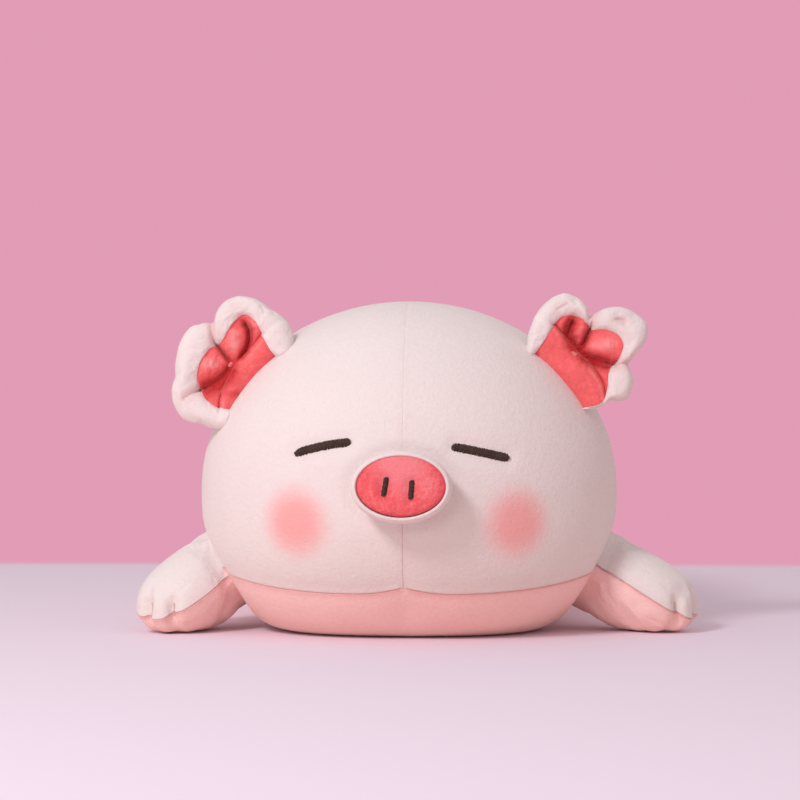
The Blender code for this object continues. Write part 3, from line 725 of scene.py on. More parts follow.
def panel_of(closed, panel, name, roll, seam_shade, allowance=0.0020, steps=4, drop=None, fold_shading=None):
    """Cuts one panel out of a closed form. Its sewn edge turns inwards with the radius roll.

    roll and seam_shade, how dark the painted shade beside the seam is, are functions of places. drop
    is one that says which places lie hidden inside another piece, where no cloth is needed, and
    fold_shading gives painted shade in folds, and painted highlights where it is under 0.
    """
    places = places_of(closed.data)
    squares, panels = squares_of(closed.data)
    seam = seam_rows(closed.data)
    squares = squares[panels == panel]
    if drop is not None:
        squares = squares[~drop(places)[squares].all(axis=1)]
    corners = squares.ravel()
    starts, ends = corners, np.roll(squares, -1, axis=1).ravel()
    total = len(places)
    open_edge = ~np.isin(starts * total + ends, ends * total + starts)
    starts, ends = starts[open_edge], ends[open_edge]
    inward = np.zeros_like(places)
    middles = places[squares].mean(axis=1)
    np.add.at(inward, corners, np.repeat(middles, 4, axis=0) - places[corners])
    along = np.zeros_like(places)
    step = unit(places[ends] - places[starts])
    np.add.at(along, starts, step)
    np.add.at(along, ends, step)
    edge = np.unique(np.concatenate((starts, ends)))
    normal = normals_of(closed.data)[edge]
    line = unit(level_with(along[edge], normal))
    side = unit(level_with(level_with(inward[edge], normal), line))
    radius = roll(places[edge])[:, None]

    used = np.unique(squares)
    new_row = np.zeros(total, int)
    new_row[used] = np.arange(len(used))
    skin = places[used]
    # Painted shade: the colour darkens beside the seam, where shade falls in its groove; the folds'
    # painted shade and painted highlights are added to it
    painted_shading = seam_shade(skin) * np.exp(-distance_to(skin, places[seam]) / SEAM_SHADE_REACH)
    if fold_shading is not None:
        depth = fold_shading(skin)
        painted_shading = np.where(depth < 0, painted_shading + depth, np.maximum(painted_shading, depth))
    skin[new_row[edge]] = places[edge] + side * (radius + SEAM_GAP)
    rings, chains = [skin], [new_row[edge]]
    for k in range(1, steps + 2):
        turn = math.pi / 2 * min(1.0, k / steps)
        deep = radius * (1 - math.cos(turn)) + (allowance if k > steps else 0)
        beside = radius * (1 - math.sin(turn)) + SEAM_GAP
        rings.append(places[edge] + side * beside - normal * deep)
        chains.append(len(used) + (k - 1) * len(edge) + np.arange(len(edge)))
    first, last = np.searchsorted(edge, starts), np.searchsorted(edge, ends)
    strips = [
        np.column_stack((upper[first], lower[first], lower[last], upper[last]))
        for upper, lower in zip(chains, chains[1:])
    ]
    obj = new_object(name, np.vstack(rings), np.vstack([new_row[squares]] + strips))
    # Painted shade on the turned-in lips, deeper than on the skin beside the seam
    lip = np.where(np.isin(edge, seam), LIP_SHADE * seam_shade(places[edge]), CUT_EDGE_SHADE)
    paint(obj, "seam", np.concatenate([painted_shading] + [lip] * (steps + 1)))
    obj.data.shade_smooth()
    return obj


def finish_piece(obj, finish, slot, body, nodes, blend=None):
    """Gives a piece its material and hides the packed nodes that it stands for; without blend it is
    attached to its body's empty, and with blend its transform is baked into its mesh. slot is not used.
    """
    obj.data.materials.clear()
    obj.data.materials.append(finish)
    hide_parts(*nodes)
    if blend is None:
        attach(obj, body)
    else:
        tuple(blend[0])
        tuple(blend[1])
        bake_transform(obj)


# Materials


def rgba(value):
    return (*value, 1.0)


def set_inputs(node, values):
    """Sets a node's input sockets by name."""
    for label, value in values.items():
        node.inputs[label].default_value = value


def new_group(name, inputs, outputs):
    """A shader node group with named sockets, given as (name, type, default)."""
    group = bpy.data.node_groups.new(name, "ShaderNodeTree")
    for label, kind, default in inputs:
        socket = group.interface.new_socket(label, in_out="INPUT", socket_type="NodeSocket" + kind)
        socket.default_value = default
    for label, kind in outputs:
        group.interface.new_socket(label, in_out="OUTPUT", socket_type="NodeSocket" + kind)
    return Wires(group), group.nodes.new("NodeGroupInput"), group.nodes.new("NodeGroupOutput")


class Wires:
    """Short ways to add nodes to a tree and join them. A value may be a number, colour or socket."""

    def __init__(self, tree):
        self.tree = tree

    def node(self, kind, **values):
        made = self.tree.nodes.new("ShaderNode" + kind)
        for key, value in values.items():
            setattr(made, key, value)
        return made

    def join(self, source, target):
        self.tree.links.new(source, target)

    def feed(self, target, value):
        if isinstance(value, (int, float, tuple)):
            target.default_value = value
        else:
            self.join(value, target)

    def where(self):
        """Places on the object."""
        return self.node("TexCoord").outputs["Object"]

    def painted(self, name):
        """A value that paint stored."""
        return self.node("Attribute", attribute_name=name).outputs["Fac"]

    def noise(self, coordinates, scale, detail=2.0, roughness=0.5):
        made = self.node("TexNoise")
        set_inputs(made, {"Scale": scale, "Detail": detail, "Roughness": roughness})
        self.join(coordinates, made.inputs["Vector"])
        return made.outputs["Fac"]

    def calculate(self, operation, first, second, clamp=False):
        made = self.node("Math", operation=operation, use_clamp=clamp)
        self.feed(made.inputs[0], first)
        self.feed(made.inputs[1], second)
        return made.outputs[0]

    def add(self, first, second, *others, clamp=False):
        total = self.calculate("ADD", first, second, clamp)
        return self.add(total, *others) if others else total

    def times(self, first, second, clamp=False):
        return self.calculate("MULTIPLY", first, second, clamp)

    def ramp(self, value, low, high, to_low=0.0, to_high=1.0, kind="LINEAR"):
        made = self.node("MapRange", interpolation_type=kind)
        set_inputs(made, {"From Min": low, "From Max": high, "To Min": to_low, "To Max": to_high})
        self.join(value, made.inputs["Value"])
        return made.outputs["Result"]

    def mix(self, mask, first, second):
        made = self.node("Mix", data_type="RGBA")
        sockets = {socket.identifier: socket for socket in (*made.inputs, *made.outputs)}
        for key, value in (("Factor_Float", mask), ("A_Color", first), ("B_Color", second)):
            self.feed(sockets[key], value)
        return sockets["Result_Color"]

    def bump(self, height, strength, distance):
        made = self.node("Bump")
        set_inputs(made, {"Strength": strength, "Distance": distance})
        self.join(height, made.inputs["Height"])
        return made.outputs["Normal"]

    def mix_shaders(self, mask, first, second, output):
        """Joins a mix of two shaders to the output."""
        made = self.node("MixShader")
        for socket, source in zip(made.inputs, (mask, first, second)):
            self.join(source, socket)
        self.join(made.outputs["Shader"], self.tree.nodes[output].inputs["Surface"])


def short_pile_group():
    """Brushed short pile: its mottled colour, roughness and height.

    Its colour turns towards the shade colour where the shading input asks for painted shade, in seams
    and folds, and lighter, as a painted highlight, where that input is under 0.
    """
    name = "short_pile"
    if name in bpy.data.node_groups:
        return bpy.data.node_groups[name]
    wires, ins, outs = new_group(
        name,
        (
            ("Colour", "Color", (1, 1, 1, 1)), ("Hollow colour", "Color", (0.5, 0.5, 0.5, 1)),
            ("Hollow", "Float", 0.0), ("Mottle", "Float", 0.10),
        ),
        (("Colour", "Color"), ("Roughness", "Float"), ("Height", "Float")),
    )
    where = wires.where()
    fine = wires.ramp(wires.noise(where, 1500.0, 3.0, 0.65), 0.30, 0.72, -0.5, 0.5)
    clumps = wires.ramp(wires.noise(where, 420.0, 2.0, 0.6), 0.30, 0.70, -0.5, 0.5)
    patches = wires.ramp(wires.noise(where, 70.0, 3.0, 0.6), 0.30, 0.70, -0.35, 0.35)
    clouds = wires.ramp(wires.noise(where, 16.0, 2.0, 0.5), 0.30, 0.70, -0.45, 0.45)
    shade = wires.times(wires.add(fine, clumps, wires.add(patches, clouds)), ins.outputs["Mottle"])
    # Painted shade and painted highlight: the seams' and folds' shading input is added to the random
    # mottle
    depth = wires.add(shade, wires.times(ins.outputs["Hollow"], 0.92))
    mask = wires.add(depth, 0.0, clamp=True)
    deep = wires.mix(mask, ins.outputs["Colour"], ins.outputs["Hollow colour"])
    light = wires.times(depth, -0.5, clamp=True)
    wires.join(wires.mix(light, deep, (1.0, 0.97, 0.965, 1.0)), outs.inputs["Colour"])
    wires.join(wires.ramp(clumps, -0.5, 0.5, 0.98, 0.80), outs.inputs["Roughness"])
    height = wires.add(wires.times(fine, 0.55), wires.times(clumps, 0.75), wires.times(patches, 0.3))
    wires.join(height, outs.inputs["Height"])
    return bpy.data.node_groups[name]


def dye_and_highlight_group():
    """A soft round patch about a centre, for dye and for a painted highlight: 1 in the middle, 0 outside
    its radius.
    """
    name = "dye_patch"
    if name in bpy.data.node_groups:
        return bpy.data.node_groups[name]
    sockets = (("Centre", "Vector", (0, 0, 0)), ("Radius", "Float", 0.02))
    wires, ins, outs = new_group(name, sockets, (("Mask", "Float"),))
    where = wires.where()
    away = wires.node("VectorMath", operation="DISTANCE")
    wires.join(where, away.inputs[0])
    wires.join(ins.outputs["Centre"], away.inputs[1])
    speckle = wires.ramp(wires.noise(where, 300.0, 3.0, 0.6), 0.3, 0.7, -0.035, 0.035)
    part = wires.calculate("DIVIDE", away.outputs["Value"], ins.outputs["Radius"])
    mask = wires.ramp(wires.add(part, speckle), 0.18, 1.18, 1.0, 0.0, "SMOOTHERSTEP")
    wires.join(mask, outs.inputs["Mask"])
    return bpy.data.node_groups[name]


def new_finish(name, values):
    """A material, the Wires of its tree, and its shader with some inputs set."""
    made = bpy.data.materials.new(name)
    made.use_nodes = True
    shader = made.node_tree.nodes["Principled BSDF"]
    set_inputs(shader, values)
    return made, Wires(made.node_tree), shader


def plush(name, base, hollow, mottle=0.10, sheen=0.22, bump=0.45, dyes=()):
    """Short-pile cloth. dyes are (centre, radius, colour, strength) patches on it: real dye on the
    cheeks, and a painted highlight at the top of the snout disc.
    """
    if name in bpy.data.materials:
        return bpy.data.materials[name]
    made, wires, shader = new_finish(name, {
        "Sheen Weight": sheen, "Sheen Roughness": 0.45, "Sheen Tint": (1.0, 0.93, 0.92, 1.0),
        "Specular IOR Level": 0.18,
    })
    pile = wires.node("Group", node_tree=short_pile_group())
    set_inputs(pile, {"Colour": rgba(base), "Hollow colour": rgba(hollow), "Mottle": mottle})
    # The seam attribute carries painted shade in seams and folds, and painted highlights where it is
    # under 0
    wires.join(wires.painted("seam"), pile.inputs["Hollow"])
    tone = pile.outputs["Colour"]
    # Patches: real dye on the cheeks, and a painted highlight on the snout disc
    for centre, radius, dye, strength in dyes:
        patch = wires.node("Group", node_tree=dye_and_highlight_group())
        set_inputs(patch, {"Centre": centre, "Radius": radius})
        tone = wires.mix(wires.times(patch.outputs["Mask"], strength), tone, rgba(dye))
    wires.join(tone, shader.inputs["Base Color"])
    wires.join(pile.outputs["Roughness"], shader.inputs["Roughness"])
    wires.join(wires.bump(pile.outputs["Height"], bump, 0.0005), shader.inputs["Normal"])
    return made


def thread(name, dark, light):
    """Embroidery thread, whose strands differ a little and are twisted."""
    if name in bpy.data.materials:
        return bpy.data.materials[name]
    made, wires, shader = new_finish(name, {
        "Sheen Weight": 0.06, "Sheen Roughness": 0.35, "Specular IOR Level": 0.30,
    })
    strand = wires.painted("strand")
    twist = wires.noise(wires.where(), 2600.0, 2.0, 0.6)
    # Painted highlight: lighter where the twist's noise and each strand's value ask for it, as strands
    # that catch the light; that value also gives each strand its own tone
    mask = wires.add(wires.ramp(twist, 0.40, 0.65, 0.0, 0.50), wires.times(strand, 0.25))
    wires.join(wires.mix(mask, rgba(dark), rgba(light)), shader.inputs["Base Color"])
    wires.join(wires.ramp(strand, 0.0, 1.0, 0.62, 0.45), shader.inputs["Roughness"])
    wires.join(wires.bump(twist, 0.5, 0.00012), shader.inputs["Normal"])
    return made


def pale_plush():
    c = bpy.context.scene.pig_colours
    return plush("pale_cloth", c.pale, c.pale_shade)


def blush_plush():
    c = bpy.context.scene.pig_colours
    return plush("blush_cloth", c.blush, c.blush_shade, mottle=0.12)


def coral_plush():
    c = bpy.context.scene.pig_colours
    return plush("coral_cloth", c.coral, c.coral_shade, mottle=0.20, sheen=0.30, bump=0.6)


# Shared places


TREES = {}  # emptied by each operator that uses them, in case a size has changed
Leg = namedtuple("Leg", "name side station bearing reach root_level")


def body_tree():
    if "body" not in TREES:
        TREES["body"] = sphere_tree(body_form, 240, 160)
    return TREES["body"]


def hip_tree():
    """The form on which the places of the legs' roots are found."""
    if "hips" not in TREES:
        power = bpy.context.scene.pig_body.hip_power
        TREES["hips"] = sphere_tree(lambda points: body_form(points, power), 160, 120)
    return TREES["hips"]


def leg_list():
    """The four legs. A station lies behind the cheeks, and the level is that of the root."""
    legs = bpy.context.scene.pig_legs
    fore = (legs.fore_length, legs.fore_root_level)
    hind = (legs.hind_length, legs.hind_root_level)
    return (
        Leg("foreleg_left", 1, legs.fore_station, legs.fore_left, *fore),
        Leg("foreleg_right", -1, legs.fore_station, legs.fore_right, *fore),
        Leg("hindleg_left", 1, legs.hind_station, legs.hind_bearing, *hind),
        Leg("hindleg_right", -1, legs.hind_station, legs.hind_bearing, *hind),
    )


def leg_frame(leg):
    """The middle of a leg's root on the body, and its outward and sideways directions."""
    outward = np.array((leg.side * math.cos(leg.bearing), math.sin(leg.bearing), 0.0))
    start = pig_origin() + (0, leg.station, leg.root_level)
    seat = np.array(hip_tree().ray_cast(Vector(start), Vector((leg.side, 0, 0)))[0])
    return seat, outward, np.cross(UPWARD, outward)


def body_normal(seat):
    """The level direction out of the body at a leg's root."""
    normal = hip_tree().find_nearest(Vector(seat))[1]
    return unit(np.array((normal.x, normal.y, 0.0)))


def leg_form(points, leg):
    """A leg's form along its middle line, which sinks from the root's level to the toes'."""
    legs = bpy.context.scene.pig_legs
    seat, outward, sideways = leg_frame(leg)
    x, y, z = points.T
    half = (legs.root + leg.reach) / 2
    along = (leg.reach - legs.root) / 2 + half * signed_power(z, 2 / legs.power)
    girth = np.maximum(0.0, 1 - z * z) ** (1 / legs.power)
    ring = np.maximum(np.hypot(x, y), 1e-9)
    out = np.maximum(0.0, along / leg.reach)
    across = legs.width / 2 * girth * x / ring
    height = legs.thickness / 2 * (1 - legs.taper * out) * girth * y / ring
    height += legs.shoulder * bell(along, 0.018) * np.maximum(0, y / ring)
    level = leg.root_level + (legs.toe_level - leg.root_level) * out
    flat = seat + outward * along[:, None] + sideways * across[:, None]
    flat[:, 2] = pressed(level + height, legs.lift, legs.softness)
    return flat


def leg_tree(leg):
    if leg.name not in TREES:
        TREES[leg.name] = sphere_tree(lambda points: leg_form(points, leg), 96, 72)
    return TREES[leg.name]


def snout_axes():
    """The snout's middle on the face, and its across, up and forward directions."""
    snout = bpy.context.scene.pig_snout
    middle = pig_origin() + (0, -bpy.context.scene.pig_body.face_depth, snout.level)
    across = np.array((1.0, 0, 0))
    forward = np.array((0, -math.cos(snout.pitch), math.sin(snout.pitch)))
    return middle, across, np.cross(across, -forward), forward


def eye_bars():
    """Each eye's name, arch and middle, and the directions along and across its bar."""
    eyes = bpy.context.scene.pig_eyes
    for side, name in ((1, "left"), (-1, "right")):
        spread, level, arch = (getattr(eyes, f"{key}_{name}") for key in ("spread", "level", "arch"))
        slant = side * eyes.slant
        lengthwise = np.array((math.cos(slant), 0, -math.sin(slant)))
        crosswise = np.array((math.sin(slant), 0, math.cos(slant)))
        yield name, arch, pig_origin() + (side * spread, 0, level), lengthwise, crosswise


def outside_bar(along, across, bar_length, breadth):
    """How far outside a bar places are, from how far they are from its middle."""
    beyond = np.maximum(0, np.abs(along) - bar_length / 2)
    return np.hypot(beyond, np.maximum(0, np.abs(across) - breadth / 2))


# Body


def dent_body(places, normals, seam_off):
    """Draws the skin in along its seams, where the snout and the legs join it, and under the eyes."""
    snout = bpy.context.scene.pig_snout
    eyes = bpy.context.scene.pig_eyes
    depth = groove(seam_off, SEAM_GROOVE)
    middle, across, upward, forward = snout_axes()
    offset = places - middle
    oval = np.hypot(offset @ across / (snout.width / 2), offset @ upward / (snout.height / 2))
    off = (oval - 1.0) * (snout.width + snout.height) / 4
    depth += np.where(offset @ forward > -0.03, groove(off, SNOUT_GROOVE), 0)
    for leg in leg_list():
        near = np.flatnonzero(np.linalg.norm(places - leg_frame(leg)[0], axis=1) < 0.055)
        depth[near] += groove(nearest(leg_tree(leg), places[near], 0.02), LEG_GROOVE)
    front = places[:, 1] < pig_origin()[1]
    for _, _, centre, lengthwise, crosswise in eye_bars():
        offset = places - centre
        off = outside_bar(offset @ lengthwise, offset @ crosswise, eyes.length, eyes.breadth)
        depth += np.where(front, groove(off, EYE_GROOVE), 0)
    return places - normals * depth[:, None]


def shape_seam(places, tree):
    """Sinks the belly seam under the face, and lifts it to a small peak at the middle seam."""
    body = bpy.context.scene.pig_body
    x, y, z = (places - pig_origin()).T
    slope = (body.seam_rear - body.seam_front) / (body.back_length + body.face_depth)
    seam = body.seam_front + slope * (y + body.face_depth)
    front = np.clip(-y / body.face_depth, 0, 1) ** 0.6
    peak = body.chin_peak * np.exp(-np.abs(x / 0.0125) ** 1.5)
    drop = body.chin_drop * np.clip(1 - (x / (body.width * 0.46)) ** 4, 0, 1)
    rise = front * (peak - drop) * bell(z - seam, 0.022)
    moved = places + np.outer(rise, UPWARD)
    for row in np.flatnonzero(np.abs(rise) > 1e-5):
        moved[row] = tree.find_nearest(Vector(moved[row]))[0]
    return moved


def make_body():
    """The closed skin, stuffed, dented where things are sewn on, and cut into its three panels."""
    body = bpy.context.scene.pig_body
    origin = pig_origin()
    tree = body_tree()
    whole = body.back_length + body.face_depth
    slope = math.atan2(body.seam_rear - body.seam_front, whole)
    along = np.array((0, math.cos(slope), math.sin(slope)))
    axes = np.array(((1, 0, 0), along, (0, -along[2], along[1])))
    middle_y = (body.back_length - body.face_depth) / 2
    centre = origin + (0, middle_y, (body.seam_rear + body.seam_front) / 2)
    stretch = np.array((body.width / 2, whole / 2, body.height * 0.6))
    places, faces, panels, _ = sewn_shells(tree, centre, axes, stretch, BODY_CELLS)
    places = shape_seam(places, tree)
    right = places[faces].mean(axis=1)[:, 0] < origin[0]
    panels = np.where(panels == 1, 2, right.astype(int))
    closed = closed_object("body_form", places, faces, panels)

    seams = seam_rows(closed.data)
    held = seams[np.abs(places[seams, 0] - origin[0]) > 1e-4]
    pinned = np.union1d(held, np.flatnonzero(places[:, 2] < HELD_LEVEL))
    start = places - normals_of(closed.data) * BODY_INSET
    start[pinned] = places[pinned]
    set_places(closed.data, start)
    stuff(closed, pinned, pressure=1.6, cap=0.0040, slack=0.003, calm=6)
    subdivide(closed, 1)

    places = places_of(closed.data)
    seams = seam_rows(closed.data)
    belly_seam = seams[np.abs(places[seams, 0] - origin[0]) > 0.0012]
    places = dent_body(places, normals_of(closed.data), distance_to(places, places[belly_seam]))
    low = places[:, 2] - body.settle * bell(places[:, 2], SETTLE_REACH)
    places[:, 2] = pressed(low, 0.0, 0.0009)
    set_places(closed.data, places)

    def middle_share(places):
        """1 where the middle seam shows as much as the belly seam; it nearly hides on the brow."""
        middle = np.abs(places[:, 0] - origin[0]) < 0.0015
        ahead = places[:, 1] < origin[1] + 0.03
        brow = np.where(ahead & (places[:, 2] > 0.095), body.brow_seam, body.centre_seam)
        return np.where(middle, brow, 1.0)

    c = bpy.context.scene.pig_colours
    spots = [tree.ray_cast(Vector(origin + (x, 0, z)), Vector(-BACKWARDS))[0] for x, z in CHEEKS]
    dyes = [(tuple(spot), CHEEK_RADIUS, c.cheek, CHEEK_STRENGTH) for spot in spots]
    face = plush("pale_cloth_face", c.pale, c.pale_shade, dyes=dyes)
    for panel, finish, slot, nodes in (
        (0, face, "pale_plush", ["upper_cover_left"]),
        (1, face, "pale_plush", ["upper_cover_right"]),
        (2, blush_plush(), "blush_plush", ["belly_panel", "body_fill"]),
    ):
        piece = panel_of(
            closed, panel, nodes[0] + "_plush",
            roll=lambda at: body.seam_roll * middle_share(at),
            seam_shade=lambda at: BODY_SEAM_SHADE * middle_share(at),
        )
        finish_piece(piece, finish, slot, TRUNK, nodes)
    bpy.data.objects.remove(closed)


# Snout


def smooth_line(points, steps):
    """A smooth line through points, as Catmull-Rom spans of a number of steps each."""
    points = np.array(points, float)
    ends = np.vstack((2 * points[0] - points[1], points, 2 * points[-1] - points[-2]))
    line = []
    for p0, p1, p2, p3 in zip(ends, ends[1:], ends[2:], ends[3:]):
        square, cube = 2 * p0 - 5 * p1 + 4 * p2 - p3, 3 * p1 - p0 - 3 * p2 + p3
        for t in np.arange(steps) / steps:
            line.append(0.5 * (2 * p1 + (p2 - p0) * t + square * t**2 + cube * t**3))
    line.append(points[-1])
    return np.array(line)


def oval_object(name, profile, segments, places_for):
    """Spins a profile of (share of the oval, depth) pairs; a share of 0 closes it with one point."""
    turn = np.linspace(0, math.tau, segments, endpoint=False)
    verts, rows, faces = [], [], []
    for radius, depth in profile:
        if radius < 1e-6:
            rows.append([len(verts)] * segments)
            verts.append(places_for(np.array([0.0]), np.array([0.0]), depth)[0])
            continue
        rows.append(list(range(len(verts), len(verts) + segments)))
        verts += list(places_for(radius * np.cos(turn), radius * np.sin(turn), depth))
    for first, second in zip(rows, rows[1:]):
        for k in range(segments):
            m = (k + 1) % segments
            face = list(dict.fromkeys((first[k], first[m], second[m], second[k])))
            if len(face) > 2:
                faces.append(face)
    obj = new_object(name, verts, faces)
    face_outwards(obj.data)
    obj.data.shade_smooth()
    return obj


def face_outwards(mesh):
    """Turns every face of a mesh outwards."""
    bm = bmesh.new()
    bm.from_mesh(mesh)
    bmesh.ops.recalc_face_normals(bm, faces=bm.faces[:])
    bm.to_mesh(mesh)
    bm.free()


def make_snout():
    """The pale wall, whose lip turns in round the disc, and the disc itself."""
    snout = bpy.context.scene.pig_snout
    c = bpy.context.scene.pig_colours
    middle, across, upward, forward = snout_axes()

    def places_for(x, y, depth, narrow=0.0, lift=0.0):
        wide = (snout.width / 2 - narrow) * x
        high = (snout.height / 2 - narrow) * y + lift
        return middle + np.outer(wide, across) + np.outer(high, upward) + forward * depth

    def wall_places(x, y, depth):
        """The wall's rows are as far inside its widest outline as their radius is over 1."""
        radius = np.hypot(x, y)
        return places_for(x / radius, y / radius, depth, radius[0] - 1.0)

    def disc_places(x, y, depth):
        return places_for(x, y, depth, snout.rim, SNOUT_DISC_LIFT)

    def off_rim(x, y):
        """Distance outside the disc's edge, roughly, in the oval's plane."""
        high = (y - SNOUT_DISC_LIFT) / (snout.height / 2 - snout.rim)
        return (np.hypot(x / (snout.width / 2 - snout.rim), high) - 1) * snout.height / 2

    def on_snout(piece):
        """A piece's points and their places across, up and forward on the snout."""
        places = places_of(piece.data)
        return places, *((places - middle) @ axis for axis in (across, upward, forward))

    profile = ((0.0030, -snout.root), *SNOUT_WALL, (snout.rim, SNOUT_LIP_LEVEL), *SNOUT_LIP)
    wall = smooth_line(profile, 4) + (1.0, 0.0)
    piece = oval_object("snout_wall_plush", wall, 144, wall_places)
    _, x, y, depth = on_snout(piece)
    # Painted shade: darker where the wall's lip turns in round the disc
    paint(piece, "seam", 0.30 * np.exp(-np.abs(off_rim(x, y)) / 0.0005) * (depth > 0.012))
    finish_piece(piece, pale_plush(), "pale_plush", TRUNK, ["snout_wall"])

    piece = oval_object("snout_face_plush", smooth_line(SNOUT_DISC, 6), 144, disc_places)
    places, x, y, depth = on_snout(piece)
    dent = np.zeros(len(places))
    for _, out, up, slant in nostrils():
        along = np.cos(slant) * (y - up) + np.sin(slant) * (x - out)
        off = np.cos(slant) * (x - out) - np.sin(slant) * (y - up)
        reach = outside_bar(along, off, snout.nostril_length, snout.nostril_breadth)
        dent += groove(reach, NOSTRIL_GROOVE)
    rim = off_rim(x, y)
    turn = np.arctan2(y / snout.height, x / snout.width)
    pucker = 0.00016 * np.sin(turn * 38 + 2.1 * np.sin(turn * 5)) * bell(rim + 0.002, 0.002)
    places -= forward * np.where(depth > 0.0145, dent + pucker, 0)[:, None]
    set_places(piece.data, places)
    # Painted shade: darker round the disc's edge, where it meets the wall, and in the nostrils' dents
    painted_shading = 0.32 * np.clip(np.exp(rim / 0.0011), 0, 1) + np.clip(dent / 0.0060, 0, 0.15)
    paint(piece, "seam", painted_shading)
    # Painted highlight: a lighter patch at the top of the disc, where the light from above catches the
    # pile
    highlight_centre = tuple(middle + upward * 0.0120 + forward * 0.0180)
    velvet = plush(
        "coral_cloth_disc", c.disc, c.coral_shade, mottle=0.34, sheen=0.30, bump=0.8,
        dyes=((highlight_centre, 0.0185, c.disc_highlight, 0.60),),
    )
    finish_piece(piece, velvet, "coral_plush", TRUNK, ["snout_face", "snout_fill"])


def nostrils():
    """Each nostril's name, place across and up the disc, and slant; both lean the same way."""
    snout = bpy.context.scene.pig_snout
    spread, shift = snout.nostril_spread, snout.nostril_shift
    return (
        ("left", spread - shift, -snout.nostril_drop, snout.nostril_slant_left),
        ("right", -spread - shift, 0.0, snout.nostril_slant_right),
    )


# Embroidery


def model_strand():
    """One strand of satin stitch along X, of length and thickness 1, modelled from a cylinder."""
    deselect_objects()
    bpy.ops.mesh.primitive_cylinder_add(
        vertices=6, radius=0.5, depth=1.0, rotation=(0, math.pi / 2, 0)
    )
    obj = bpy.context.object
    bpy.ops.object.transform_apply(location=True, rotation=True, scale=True)
    bpy.ops.object.mode_set(mode="EDIT")
    bpy.ops.mesh.select_mode(type="EDGE")
    bpy.ops.mesh.select_all(action="DESELECT")
    bpy.ops.object.mode_set(mode="OBJECT")
    for edge in obj.data.edges:
        start, end = (obj.data.vertices[k].co for k in edge.vertices)
        edge.select = abs(start.x - end.x) > 0.5
    bpy.ops.object.mode_set(mode="EDIT")
    bpy.ops.mesh.subdivide(number_cuts=7)
    bpy.ops.object.mode_set(mode="OBJECT")
    obj.select_set(False)
    return obj


def satin_bar(name, tree, facing, centre, lengthwise, crosswise, size, strand, height, seed, arch=0.0):
    """Lays strands side by side across a bar on a surface that is looked at along facing.

    size is the bar's length and breadth, strand the thickness of one, and height how far they rise.
    """
    bar_length, breadth = size
    chance = np.random.default_rng(seed)
    model = model_strand()
    base = places_of(model.data)
    faces = [tuple(face.vertices) for face in model.data.polygons]
    bpy.data.objects.remove(model)
    rise = 1 - np.clip(np.abs(base[:, 0]) * 2, 0, 1) ** 2.4
    count = int(round(bar_length / (strand * STRAND_PITCH)))
    verts, out, tones = [], [], []
    facing = Vector(facing)
    for k in range(count):
        part = (k + 0.5) / count * 2 - 1
        width = breadth * max(0.0, 1 - abs(part) ** 14) ** 0.5 * chance.uniform(0.93, 1.06)
        if width < strand:
            continue
        middle = centre + lengthwise * (bar_length / 2 * part) + crosswise * (arch * (1 - part**2))
        middle = middle + crosswise * chance.uniform(-0.00012, 0.00012)
        spot, normal, _, _ = tree.ray_cast(Vector(middle) - facing * RAY_START, facing)
        normal = np.array(normal)
        lean = chance.uniform(-0.09, 0.09) + 0.12
        along = crosswise * math.cos(lean) + lengthwise * math.sin(lean)
        along = unit(along - normal * (along @ normal))
        thick = strand * chance.uniform(0.9, 1.12)
        local = base * (width, thick, thick)
        local[:, 2] += height * (1.35 * rise - 0.45) + chance.uniform(-0.00004, 0.00004)
        out += [[row + len(verts) for row in face] for face in faces]
        verts += list(np.array(spot) + local @ np.array((along, np.cross(normal, along), normal)))
        tones += [chance.uniform(0, 1)] * len(base)
    obj = new_object(name, verts, out)
    paint(obj, "strand", tones)
    obj.data.shade_smooth()
    return obj


def tree_of(*names):
    """A search tree of finished pieces as they are."""
    bm = bmesh.new()
    for name in names:
        bm.from_mesh(bpy.data.objects[name].data)
    tree = BVHTree.FromBMesh(bm)
    bm.free()
    return tree


def make_embroidery():
    """The two eyes and the two nostrils, in satin stitch."""
    eyes = bpy.context.scene.pig_eyes
    snout = bpy.context.scene.pig_snout
    c = bpy.context.scene.pig_colours
    finish = thread("eye_satin", c.thread, c.thread_light)
    skin = tree_of("upper_cover_left_plush", "upper_cover_right_plush")
    for seed, (name, arch, centre, lengthwise, crosswise) in enumerate(eye_bars()):
        bar = satin_bar(
            "eye_" + name + "_satin", skin, BACKWARDS, centre, lengthwise, crosswise,
            (eyes.length, eyes.breadth), eyes.strand, 0.0013, 11 + seed, arch,
        )
        finish_piece(bar, finish, "brown_thread", TRUNK, ["eye_" + name])
    disc = tree_of("snout_face_plush")
    middle, across, upward, forward = snout_axes()
    for seed, (name, out, up, slant) in enumerate(nostrils()):
        lengthwise = upward * math.cos(slant) + across * math.sin(slant)
        centre = middle + across * out + upward * up + forward * 0.03
        bar = satin_bar(
            "nostril_" + name + "_satin", disc, -forward, centre, lengthwise,
            np.cross(-forward, lengthwise), (snout.nostril_length, snout.nostril_breadth),
            eyes.strand, 0.0010, 31 + seed,
        )
        finish_piece(bar, finish, "brown_thread", TRUNK, ["nostril_" + name])


# Legs


